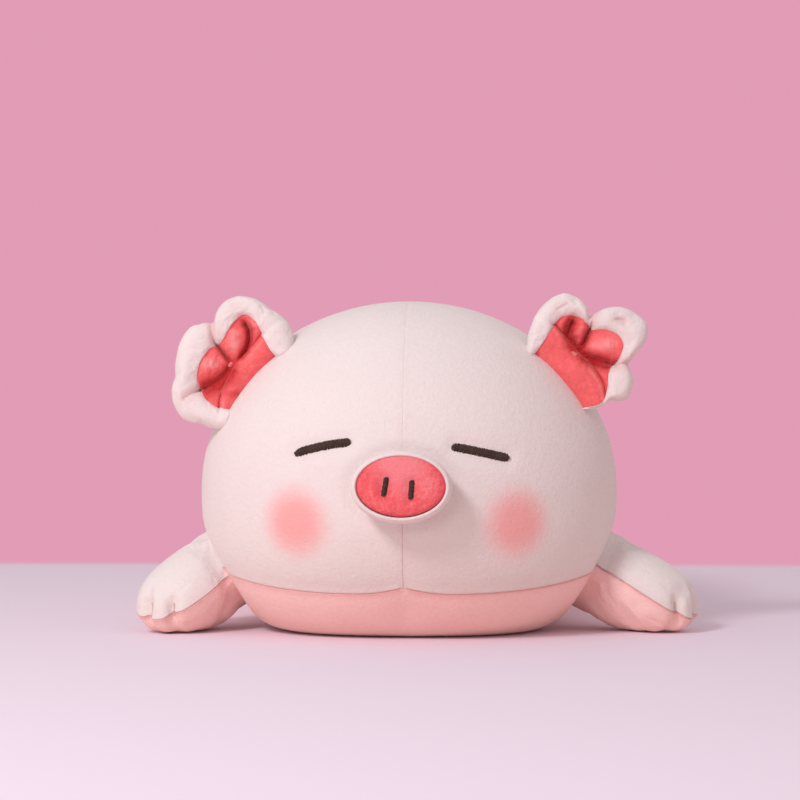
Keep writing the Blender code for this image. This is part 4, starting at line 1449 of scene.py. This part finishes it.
def toe_lines(leg):
    """Each toe stitch: its name, the direction that it faces, and its middle on the paw."""
    legs = bpy.context.scene.pig_legs
    seat, outward, _ = leg_frame(leg)
    paw = seat + outward * (leg.reach / 2) + (0, 0, legs.stitch_level - leg.root_level)
    forwards = legs.toe_turn if leg.name.startswith("fore") else 0.0
    for turn, part in ((-1, "_toe_stitch_front"), (1, "_toe_stitch_rear")):
        bearing = leg.side * (turn * legs.toe_bearing - forwards)
        facing = Matrix.Rotation(bearing, 3, "Z") @ Vector(outward)
        spot = leg_tree(leg).ray_cast(Vector(paw) + facing * TOE_RAY_START, -facing)[0]
        yield leg.name + part, np.array(facing), np.array(spot)


def make_leg(leg):
    """A leg as two panels that are sewn round their edge, stuffed, and drawn in at the toes."""
    legs = bpy.context.scene.pig_legs
    c = bpy.context.scene.pig_colours
    name = leg.name
    seat, outward, sideways = leg_frame(leg)
    slope = math.atan2(legs.seam_toe - legs.seam_root, leg.reach)
    along = outward * math.cos(slope) + np.array((0, 0, math.sin(slope)))
    middle = (leg.reach - legs.root) / 2
    level = legs.seam_root + (legs.seam_toe - legs.seam_root) * middle / leg.reach
    centre = seat + outward * middle + (0, 0, level - leg.root_level)
    axes = np.array((-sideways, along, np.cross(-sideways, along)))
    if axes[2, 2] < 0:
        axes = axes * ((-1,), (1,), (-1,))
    stretch = np.array((legs.width / 2, (leg.reach + legs.root) / 2, legs.thickness / 2))
    places, faces, panels, ring = sewn_shells(leg_tree(leg), centre, axes, stretch, LEG_CELLS)
    closed = closed_object(name + "_form", places, faces, panels)

    normals = normals_of(closed.data)
    stitches = list(toe_lines(leg))
    drawn = np.zeros(len(places))
    for _, facing, spot in stitches:
        offset = places - spot
        off = np.abs(offset @ np.cross(UPWARD, facing))
        above = np.maximum(0, np.abs(offset[:, 2]) - legs.stitch_length / 2)
        near = offset @ facing > -0.016
        drawn += np.where(near, np.exp(-((off / 0.0032) ** 2) - (above / 0.006) ** 2), 0)
    start = places - normals * (LEG_INSET + legs.toe_dimple * drawn[:, None])
    start[ring] = places[ring] - normals[ring] * (legs.toe_dimple * drawn[ring, None])
    set_places(closed.data, start)
    rooted = (places - seat) @ outward < 0.002
    pinned = np.union1d(ring, np.flatnonzero((drawn > 0.6) | rooted))
    stuff(closed, pinned, pressure=3.2, cap=0.0038, slack=0.02)
    subdivide(closed, 2)

    body = body_tree()
    places = places_of(closed.data)
    dent = 0.0016 * bell(nearest(body, places, 0.02), 0.005)
    places -= normals_of(closed.data) * dent[:, None]
    outside = np.clip((places - seat) @ outward / 0.012, 0, 1)
    low = places[:, 2] - legs.settle * bell(places[:, 2], SETTLE_REACH) * outside
    places[:, 2] = pressed(low, 0.0003, 0.0007)
    set_places(closed.data, places)

    away = body_normal(seat)
    blend = (seat - away * 0.003, seat + away * (0.034 * (outward @ away)))
    for panel, finish, slot, nodes in (
        (0, pale_plush(), "pale_plush", [name + "_upper"]),
        (1, blush_plush(), "blush_plush", [name + "_lower", name + "_fill"]),
    ):
        piece = panel_of(
            closed, panel, nodes[0] + "_plush", even(legs.seam_roll), even(LEG_SEAM_SHADE),
            drop=lambda at: nearest(body, at, 0.05) < -0.006,
        )
        finish_piece(piece, finish, slot, name, nodes, blend=blend)
    bpy.data.objects.remove(closed)
    skin = tree_of(name + "_upper_plush", name + "_lower_plush")
    for seed, (stitch, facing, spot) in enumerate(stitches):
        bar = satin_bar(
            stitch + "_thread", skin, -facing, spot + facing * 0.06, UPWARD, np.cross(facing, UPWARD),
            (legs.stitch_length, legs.stitch_breadth), 0.00042, 0.0003, 51 + seed,
        )
        finish_piece(bar, thread("toe_satin", c.toe_thread, c.pale), "coral_thread", name, [stitch])


# Ears


def soften(values, width, reach):
    """Smooths values that run round a circle, over reach of them on both sides."""
    weights = bell(np.arange(-reach, reach + 1), width)
    ring = np.concatenate((values[-reach:], values, values[:reach]))
    return np.convolve(ring, weights / weights.sum(), mode="valid")


def table_value(table, degrees):
    """A smooth value from a table of (degrees, value) pairs round the circle."""
    at, values = np.array(table, float).T
    fine = np.arange(-90.0, 271.0, 1.0)
    line = np.interp(fine, at, values, period=360)
    ring = np.concatenate((line[-9:-1], line, line[1:9]))
    weights = bell(np.arange(-6, 7), 2.6)
    smooth = np.convolve(ring, weights / weights.sum(), mode="same")[8:-8]
    return np.interp((degrees + 90) % 360 - 90, fine, smooth)


def off_line(points, line):
    """Distance from each point to a line of points, the direction from it, and the share along it."""
    best = np.full(len(points), 1e9)
    towards = np.zeros_like(points)
    along = np.zeros(len(points))
    line = np.array(line, float) / 1000
    for k, (start, end) in enumerate(zip(line, line[1:])):
        step = end - start
        part = np.clip((points - start) @ step / (step @ step), 0, 1)
        offset = points - (start + part[:, None] * step)
        far = np.linalg.norm(offset, axis=1)
        closer = far < best
        best[closer] = far[closer]
        towards[closer] = unit(offset[closer])
        along[closer] = (k + part[closer]) / (len(line) - 1)
    return best, towards, along


def flat_cross(first, second):
    return first[..., 0] * second[..., 1] - first[..., 1] * second[..., 0]


def ray_lengths(start, directions, outline):
    """How far each ray from a point inside a closed outline runs before it leaves it."""
    outline = np.array(outline, float) / 1000
    lengths = np.full(len(directions), 1e9)
    for first, second in zip(outline, np.roll(outline, -1, axis=0)):
        step, gap = second - first, first - start
        turn = flat_cross(directions, step)
        turn = np.where(np.abs(turn) < 1e-12, 1e-12, turn)
        far = flat_cross(gap, step) / turn
        part = flat_cross(gap, directions) / turn
        met = (far > 0) & (part >= 0) & (part <= 1)
        lengths = np.where(met, np.minimum(lengths, far), lengths)
    return lengths


class EarPlan:
    """Where the points of one ear go: its flat outline, its folds, and its seat on the head."""

    def __init__(self, name, side, lean, rim, lining, roll, valleys, ridges):
        ears = bpy.context.scene.pig_ears
        self.ears = ears
        self.thick = ears.thickness / 2
        self.rim = rim
        self.lining = lining
        self.roll = np.array(roll, float) / 1000
        self.valleys = valleys
        self.ridges = ridges
        self.tack = np.array((0.0, ears.tack_height))
        hinge = np.array(JOINTS[name]["pos_m"])
        self.outward = np.array((side * math.cos(lean), 0, math.sin(lean)))
        self.sideways = np.array((side * math.sin(lean), 0, -math.cos(lean)))
        self.origin = hinge - self.outward * ears.root_radius
        self.across = np.linspace(-0.045, 0.045, 61)
        head = body_tree()
        falls = []
        for x in self.across:
            start = self.origin + self.sideways * x + self.outward * ears.reach
            falls.append(head.ray_cast(Vector(start), Vector(-self.outward))[3] or 0.05)
        falls = np.array(falls)
        self.falls = falls - np.interp(0, self.across, falls)

    def reach(self, degrees):
        """From the tack to the rim; the root's edge runs into the head."""
        reach = self.ears.reach * table_value(self.rim, degrees)
        down = -np.sin(np.radians(degrees))
        limit = (self.ears.tack_height + self.ears.root_depth) / np.maximum(down, 1e-3)
        return np.where(down > 0.05, np.minimum(reach, limit), reach)

    def fall(self, x):
        """How much lower the head is than at the hinge."""
        return np.interp(x, self.across, self.falls) * self.ears.root_follow

    def place(self, flat, forward):
        """Flat points (sideways, outward) and how far each stands forward, as places."""
        out = flat[:, 1] - self.fall(flat[:, 0])
        spread = np.outer(flat[:, 0], self.sideways) + np.outer(out, self.outward)
        return self.origin + spread - np.outer(forward, BACKWARDS)

    def flat(self, places):
        """The flat points of places."""
        offset = places - self.origin
        x = offset @ self.sideways
        return np.column_stack((x, offset @ self.outward + self.fall(x)))

    def ahead(self, places, limit):
        """Whether places lie in front of the root, or no further behind it than limit."""
        return (self.origin - places) @ BACKWARDS > -limit

    def beyond_roll(self, flat):
        """How far flat points lie outside the roll's outer edge, negative on the roll."""
        x, level = self.roll.T
        slope = np.interp(flat[:, 0], x, np.gradient(level, x))
        return (flat[:, 1] - np.interp(flat[:, 0], x, level)) / np.hypot(1, slope)

    def fade(self, along):
        """Folds start at full depth and run out softly."""
        return np.clip(np.minimum(along * 8 + 0.6, (1 - along) * 6 + 0.45), 0, 1)

    def fold(self, flat, height):
        """Lays valleys and ridges into a front height, and draws the valleys' lips together."""
        moved = flat.copy()
        height = height.copy()
        for line, depth, width in self.valleys:
            depth, width = depth / 1000, width / 1000
            far, away, along = off_line(flat, line)
            fade = self.fade(along)
            height -= depth * fade * np.exp(-((far / width) ** 1.3))
            lips = 0.5 * width * fade * (far / width) * bell(far, 1.5 * width)
            moved -= away * lips[:, None]
        for line, lift, width in self.ridges:
            far, _, along = off_line(flat, line)
            fade = np.clip(np.minimum(along, 1 - along) * 4 + 0.25, 0, 1)
            height += lift / 1000 * fade * bell(far * 1000, width)
        return moved, height

    def lining_height(self, flat, part):
        """Front height of the lining: petals that slope to the tack, and the roll over their feet."""
        foot, width = -0.0015, 0.0050  # of the roll
        outside = self.beyond_roll(flat)
        on_roll = -outside
        petals = self.thick * (-0.20 + 0.78 * part**0.75)
        petals = petals - 0.0016 * np.exp(-np.maximum(outside, 0) / 0.0022)
        moved, petals = self.fold(flat, petals)
        rise = np.sqrt(np.clip(1 - (1 - np.clip(on_roll / width, 0, 1)) ** 2, 0, 1))
        sink = np.clip((0.0045 - flat[:, 1]) / 0.0045, 0, 1.6) ** 2
        wave = 0.0004 * np.sin(flat[:, 0] / 0.0042)
        roll = foot + (self.ears.roll_height + wave - foot) * rise - 0.0016 * sink
        height = np.where(on_roll > 0, np.maximum(roll, foot), petals)
        lean = 0.0014 * bell(on_roll - 0.0008, 0.0012) * (on_roll > -0.0001)
        moved = np.where((on_roll > 0)[:, None], flat, moved)
        moved = moved + np.column_stack((np.zeros(len(flat)), lean))
        return moved, np.maximum(height, -self.thick * 0.42)

    def hollow(self, places, most):
        """Painted shade of the folds at places on the front, up to most: in the valleys and just outside
        the roll's edge; under 0, as a painted highlight, on the ridges and along the roll.
        """
        flat = self.flat(places)
        mask = np.zeros(len(places))
        lit = np.zeros(len(places))
        # Painted shade in the valleys
        for line, depth, width in self.valleys:
            far, _, along = off_line(flat, line)
            shade = 1.3 * self.fade(along) * bell(far * 760, width) * min(1, depth / 5)
            mask = np.clip(np.maximum(mask, shade), 0, 1)
        # Painted highlight on the ridges
        for line, _, width in self.ridges:
            far, _, along = off_line(flat, line)
            lit = np.maximum(lit, self.fade(along) * bell(far * 1200, width))
        outside = self.beyond_roll(flat)
        # Painted highlight along the roll, just inside its outer edge
        lit = np.maximum(lit, 0.8 * bell(outside + 0.0017, 0.0012))
        on_lining = most > 0.8
        # Painted shade on the lining, just outside the roll's edge
        mask = np.maximum(mask, 0.8 * np.exp(-np.abs(outside - 0.0008) / 0.0011) * on_lining)
        shown = most * mask - 0.4 * lit * np.clip(1 - 2 * mask, 0, 1)
        return shown * self.ahead(places, 0.004)

    def back_height(self, flat, part):
        """Front height of the ear's back, which follows its folds a little."""
        back = -self.thick * 0.95 * (1 - part**3.0) ** 0.5
        _, folded = self.fold(flat, back)
        back = back + 0.35 * (back - folded) * np.minimum(1.0, part * 3) * (1 - part**4)
        back = back + 0.0024 * bell(part, 0.16)
        return np.minimum(back, -0.0035 * (1 - part**3) ** 0.5)


def ear_form(plan):
    """The closed form of an ear: its lining, then the rim rolled round it, then its back."""
    radius, turn, squares, ring = disc_grid(EAR_CELLS)
    radial = np.column_stack((np.cos(turn), np.sin(turn)))
    reach = plan.reach(np.degrees(turn))
    border = ray_lengths(plan.tack, radial, plan.lining)
    smooth = soften(np.minimum(border[ring], reach[ring] * 0.96), 2, 6)
    border = np.interp(turn, turn[ring], smooth, period=math.tau)
    border = np.minimum(border, reach * 0.97)
    flat, height = plan.lining_height(plan.tack + radial * (border * radius)[:, None], radius)
    places, faces = [plan.place(flat, height)], [squares]
    seam_height, border, reach_round = height[ring], border[ring], reach[ring]
    row, total = ring, len(radius)
    for swing in np.linspace(0, math.pi, RIM_STEPS + 1)[1:]:
        out = border + (reach_round - border) * (1 - math.cos(swing)) / 2
        flat = plan.tack + radial[ring] * out[:, None]
        crest = plan.thick * np.clip(0.45 + (reach_round - border) / 0.012, 0.5, 1.08)
        low = seam_height if swing < math.pi / 2 else 0
        full = low + (crest - low) * math.sin(swing)
        moved, height = plan.fold(flat, full)
        hold = math.sin(swing) ** 0.5 if swing > math.pi / 2 else 1.0
        places.append(plan.place(flat + (moved - flat) * hold, full + (height - full) * hold))
        after = total + np.arange(len(ring))
        faces.append(ring_squares(row, after))
        row, total = after, total + len(ring)
    inside = np.ones(len(radius), bool)
    inside[ring] = False
    flat = plan.tack + radial * (reach * radius)[:, None]
    places.append(plan.place(flat, plan.back_height(flat, radius))[inside])
    number = np.zeros(len(radius), int)
    number[inside] = total + np.arange(inside.sum())
    number[ring] = row
    faces.append(number[squares][:, ::-1])
    verts, faces = np.vstack(places), np.vstack(faces)
    corners = verts[faces[len(squares) // 2]]
    if np.cross(corners[2] - corners[0], corners[3] - corners[1])[1] > 0:
        faces = faces[:, ::-1]
    return verts, faces, np.arange(len(faces)) < len(squares)


def make_ear(name, side, lean, *shape):
    """An ear, folded, filled, cut into its cover and its lining, and gathered with a tack."""
    ears = bpy.context.scene.pig_ears
    c = bpy.context.scene.pig_colours
    plan = EarPlan(name, side, lean, *shape)
    verts, faces, on_lining = ear_form(plan)
    closed = closed_object(name + "_form", verts, faces, on_lining.astype(int))
    flat = plan.flat(verts)
    held = np.abs(plan.beyond_roll(flat)) < 0.0010
    for line, _, width in plan.valleys:
        held |= off_line(flat, line)[0] < width / 1000 * 0.8
    held &= plan.ahead(verts, 0.0035)
    held |= (flat[:, 1] < 0.0015) | (np.hypot(*(flat - plan.tack).T) < 0.0022)
    sewn = np.union1d(seam_rows(closed.data), np.flatnonzero(held))
    stuff(closed, sewn, pressure=2.2, cap=0.0016, slack=0.02)
    subdivide(closed, 1)
    blend = (plan.origin - plan.outward * 0.0005, plan.origin + plan.outward * 0.0085)
    rim_plush = plush("pale_cloth_ear", c.pale, c.pale_shade, mottle=0.12)
    body = body_tree()

    def hidden(points):
        inside = np.zeros(len(points), bool)
        near = np.flatnonzero(plan.flat(points)[:, 1] < 0.0005)
        inside[near] = nearest(body, points[near], 0.05) < -0.004
        return inside

    # most: how deep the painted shade of the folds goes on each panel
    for panel, finish, slot, nodes, most in (
        (0, rim_plush, "pale_plush", [name + "_cover", name + "_wadding"], 0.6),
        (1, coral_plush(), "coral_plush", [name + "_lining"], 0.95),
    ):
        piece = panel_of(
            closed, panel, nodes[0] + "_plush", even(ears.seam_roll), even(EAR_SEAM_SHADE),
            allowance=0.0010, steps=3, drop=hidden,
            fold_shading=lambda at, most=most: plan.hollow(at, most),
        )
        finish_piece(piece, finish, slot, name, nodes, blend=blend)
    bpy.data.objects.remove(closed)
    spot = plan.place(plan.tack[None], np.array([0.03]))[0]
    bar = satin_bar(
        name + "_tack_thread", tree_of(name + "_lining_plush"), BACKWARDS, spot, plan.sideways,
        plan.outward, (0.0030, 0.0022), 0.0005, 0.0005, 71,
    )
    finish = thread("ear_satin", c.coral, c.toe_thread)
    finish_piece(bar, finish, "coral_thread", name, [name + "_tack"])


# Tail


def make_tail():
    """A thin stuffed tube, seamed underneath, that starts inside the rump."""
    tail = bpy.context.scene.pig_tail
    hinge = np.array(JOINTS["tail"]["pos_m"])
    part = np.linspace(0, 1, 96)
    turn = tail.turns * math.tau * part
    curl = np.column_stack((
        tail.pitch * tail.turns * part,
        tail.stalk + tail.curl_radius * np.sin(turn),
        tail.curl_radius * (1 - np.cos(turn)),
    ))
    inside = np.linspace(-TAIL_ROOT, 0, 10, endpoint=False)
    outside = tail.stalk * np.linspace(0, 1, 14, endpoint=False)
    stalk = np.outer(np.concatenate((inside, outside)), BACKWARDS)
    route = np.vstack((stalk, curl)) + hinge
    taper = np.concatenate((np.zeros(len(stalk)), part / 3))
    travel = np.concatenate(([0], np.cumsum(np.linalg.norm(np.diff(route, axis=0), axis=1))))
    size = tail.thickness / 2 * (1 - taper)
    size = size * (1 + 0.035 * np.sin(travel / 0.0058) + 0.02 * np.sin(travel / 0.0023 + 1))
    near_tip = np.clip(1 - (travel[-1] - travel) / 0.0042, 0, 1)
    size = size * np.sqrt(np.clip(1 - near_tip**2, 1e-4, 1))

    around = 40
    spin = np.linspace(0, math.tau, around, endpoint=False)
    off_seam = spin - 1.5 * math.pi
    section = np.column_stack((np.cos(spin), np.sin(spin))) * (1 - 0.10 * bell(off_seam, 0.16))[:, None]
    places = []
    side = np.array((1.0, 0, 0))
    for place, tangent, width in zip(route, unit(np.gradient(route, axis=0)), size):
        side = unit(side - tangent * (side @ tangent))
        places.append(place + section @ np.array((side, np.cross(tangent, side))) * width)
    rows = np.arange(len(route) * around).reshape(-1, around)
    faces = [ring_squares(first, second).tolist() for first, second in zip(rows, rows[1:])]
    obj = new_object("tail_plush", np.vstack(places), sum(faces, []) + [rows[0][::-1], rows[-1]])
    face_outwards(obj.data)
    # Painted shade along the seam under the tube
    paint(obj, "seam", np.tile(bell(off_seam, 0.22), len(route)))
    obj.data.shade_smooth()
    blend = (hinge - BACKWARDS * 0.004, hinge + BACKWARDS * 0.010)
    finish_piece(obj, pale_plush(), "pale_plush", "tail", ["tail"], blend=blend)


# Stage


def aim(obj, target):
    """Turns a camera or lamp towards a point."""
    obj.rotation_mode = "QUATERNION"
    obj.rotation_quaternion = (Vector(target) - obj.location).to_track_quat("-Z", "Y")


def stage_object(name, data, place, target):
    """A camera or lamp at a place, turned towards a point."""
    obj = bpy.data.objects.new(name, data)
    bpy.context.scene.collection.objects.link(obj)
    obj.location = place
    aim(obj, target)
    return obj


def model_floor():
    """A disc that is extruded outwards in rings, so that it reaches far past the picture."""
    deselect_objects()
    bpy.ops.mesh.primitive_circle_add(vertices=96, radius=0.5, fill_type="NGON", location=(0, 0, 0))
    floor = bpy.context.object
    floor.name = "floor"
    for growth in (1.6, 1.8, 3.0, 5.0):
        bpy.ops.object.mode_set(mode="EDIT")
        bpy.ops.mesh.select_mode(type="EDGE")
        bpy.ops.mesh.select_all(action="DESELECT")
        bpy.ops.object.mode_set(mode="OBJECT")
        verts = floor.data.vertices
        rim = 0.999 * max(vert.co.to_2d().length for vert in verts)
        for edge in floor.data.edges:
            edge.select = all(verts[k].co.to_2d().length > rim for k in edge.vertices)
        bpy.ops.object.mode_set(mode="EDIT")
        bpy.ops.mesh.extrude_edges_move()
        bpy.ops.transform.resize(value=(growth, growth, 1))
        bpy.ops.object.mode_set(mode="OBJECT")
    floor.select_set(False)
    return floor


def floor_finish(middle_y):
    """Pale floor near the pig, which turns into the backdrop's colour behind it and all round."""
    stage = bpy.context.scene.pig_stage
    made, wires, shader = new_finish("floor", {"Roughness": 0.75, "Specular IOR Level": 0.2})
    seen = wires.node("LightPath").outputs["Is Camera Ray"]
    wires.join(wires.mix(seen, rgba(stage.bounce), rgba(stage.floor)), shader.inputs["Base Color"])
    glow = wires.node("Emission")
    set_inputs(glow, {"Color": rgba(stage.backdrop)})
    where = wires.where()
    away = wires.node("VectorMath", operation="LENGTH")
    wires.join(where, away.inputs[0])
    split = wires.node("SeparateXYZ")
    wires.join(where, split.inputs["Vector"])
    behind = wires.add(split.outputs["Y"], stage.wall_softness - stage.wall - middle_y)
    around = wires.calculate("SUBTRACT", away.outputs["Value"], FLOOR_RADIUS)
    edge = wires.calculate("MAXIMUM", behind, around)
    mask = wires.ramp(edge, 0.0, 2 * stage.wall_softness, kind="SMOOTHSTEP")
    wires.mix_shaders(mask, shader.outputs["BSDF"], glow.outputs["Emission"], "Material Output")
    return made


def make_world():
    """Soft even light, which the camera and reflections see as the backdrop."""
    stage = bpy.context.scene.pig_stage
    world = bpy.data.worlds.new("studio")
    bpy.context.scene.world = world
    world.use_nodes = True
    wires = Wires(world.node_tree)
    soft = world.node_tree.nodes["Background"]
    set_inputs(soft, {"Color": (1.0, 0.94, 0.92, 1.0), "Strength": stage.ambient})
    seen = wires.node("Background")
    set_inputs(seen, {"Color": rgba(stage.backdrop)})
    rays = wires.node("LightPath").outputs
    mask = wires.calculate("MAXIMUM", rays["Is Camera Ray"], rays["Is Glossy Ray"])
    mask = wires.calculate("MAXIMUM", mask, rays["Is Transmission Ray"])
    wires.mix_shaders(mask, soft.outputs["Background"], seen.outputs["Background"], "World Output")


def make_stage():
    """The camera, the floor with its backdrop, the world and two lamps."""
    stage = bpy.context.scene.pig_stage
    scene = bpy.context.scene
    origin = pig_origin()
    focus = Vector((origin[0] + stage.target_x, origin[1], stage.target_height))
    place = focus + Vector((
        stage.distance * math.sin(stage.yaw),
        -stage.distance * math.cos(stage.yaw),
        stage.camera_height - stage.target_height,
    ))
    camera = bpy.data.cameras.new("camera")
    camera.lens = stage.lens
    scene.camera = stage_object("camera", camera, place, focus)

    floor = model_floor()
    floor.data.materials.append(floor_finish(float(origin[1])))
    floor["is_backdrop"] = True
    make_world()
    for name, place, watts, size in (
        ("key_light", (-0.72, -1.24, 1.04), stage.key, 0.32),
        ("fill_light", (-0.8, -1.3, 0.14), stage.fill, 0.8),
    ):
        lamp = bpy.data.lights.new(name, "AREA")
        lamp.energy = watts
        lamp.size = size
        stage_object(name, lamp, place, (0, 0, LAMP_TARGET))
    scene.view_settings.view_transform = "Standard"


# Operators and panel


class PIG_OT_stage(bpy.types.Operator):
    """Set the camera, the floor and the light"""

    bl_idname = "pig.stage"
    bl_label = "Set the stage"

    def execute(self, context):
        make_stage()
        return {"FINISHED"}


class PIG_OT_body(bpy.types.Operator):
    """Sew and stuff the body from its two upper panels and the belly panel"""

    bl_idname = "pig.body"
    bl_label = "Sew the body"

    def execute(self, context):
        TREES.clear()
        make_body()
        return {"FINISHED"}


class PIG_OT_snout(bpy.types.Operator):
    """Sew the snout's wall and the coral disc in it"""

    bl_idname = "pig.snout"
    bl_label = "Sew the snout"

    def execute(self, context):
        make_snout()
        return {"FINISHED"}


class PIG_OT_embroidery(bpy.types.Operator):
    """Embroider the eyes and the nostrils in satin stitch"""

    bl_idname = "pig.embroidery"
    bl_label = "Embroider the face"

    def execute(self, context):
        make_embroidery()
        return {"FINISHED"}


class PIG_OT_legs(bpy.types.Operator):
    """Sew and stuff the four legs and draw their toes in"""

    bl_idname = "pig.legs"
    bl_label = "Sew the legs"

    def execute(self, context):
        TREES.clear()
        for leg in leg_list():
            make_leg(leg)
        return {"FINISHED"}


class PIG_OT_ears(bpy.types.Operator):
    """Sew the two lined ears and gather each with a tack"""

    bl_idname = "pig.ears"
    bl_label = "Sew the ears"

    def execute(self, context):
        TREES.clear()
        ears = context.scene.pig_ears
        left = (LEFT_RIM, LEFT_LINING, LEFT_ROLL, LEFT_VALLEYS, LEFT_RIDGES)
        right = (RIGHT_RIM, RIGHT_LINING, RIGHT_ROLL, RIGHT_VALLEYS, RIGHT_RIDGES)
        make_ear("ear_left", 1, ears.lean_left, *left)
        make_ear("ear_right", -1, ears.lean_right, *right)
        return {"FINISHED"}


class PIG_OT_tail(bpy.types.Operator):
    """Sew the curled tail"""

    bl_idname = "pig.tail"
    bl_label = "Sew the tail"

    def execute(self, context):
        make_tail()
        return {"FINISHED"}


OPERATORS = (
    PIG_OT_stage,
    PIG_OT_body,
    PIG_OT_snout,
    PIG_OT_embroidery,
    PIG_OT_legs,
    PIG_OT_ears,
    PIG_OT_tail,
)


class PIG_PT_panel(bpy.types.Panel):
    """Lists the pig's sizes and colours, and the steps that make it"""

    bl_idname = "PIG_PT_panel"
    bl_label = "Plush pig"
    bl_space_type = "VIEW_3D"
    bl_region_type = "UI"
    bl_category = "Plush pig"

    def draw(self, context):
        for operator in OPERATORS:
            self.layout.operator(operator.bl_idname)
        for name, group in GROUPS.items():
            box = self.layout.box()
            box.label(text=group.__doc__)
            for key in group.__annotations__:
                box.prop(getattr(context.scene, name), key)


CLASSES = (*GROUPS.values(), *OPERATORS, PIG_PT_panel)


def register():
    for cls in CLASSES:
        bpy.utils.register_class(cls)
    for name, group in GROUPS.items():
        setattr(bpy.types.Scene, name, PointerProperty(type=group))


def unregister():
    for name in GROUPS:
        delattr(bpy.types.Scene, name)
    for cls in reversed(CLASSES):
        bpy.utils.unregister_class(cls)


def main():
    register()
    bpy.ops.pig.stage()
    bpy.ops.pig.body()
    bpy.ops.pig.snout()
    bpy.ops.pig.embroidery()
    bpy.ops.pig.legs()
    bpy.ops.pig.ears()
    bpy.ops.pig.tail()
    boxes = {"cad": CAD_BOX, "visual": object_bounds()}
    {key: [list(corner) for corner in box] for key, box in boxes.items()}


if __name__ == "__main__":
    main()
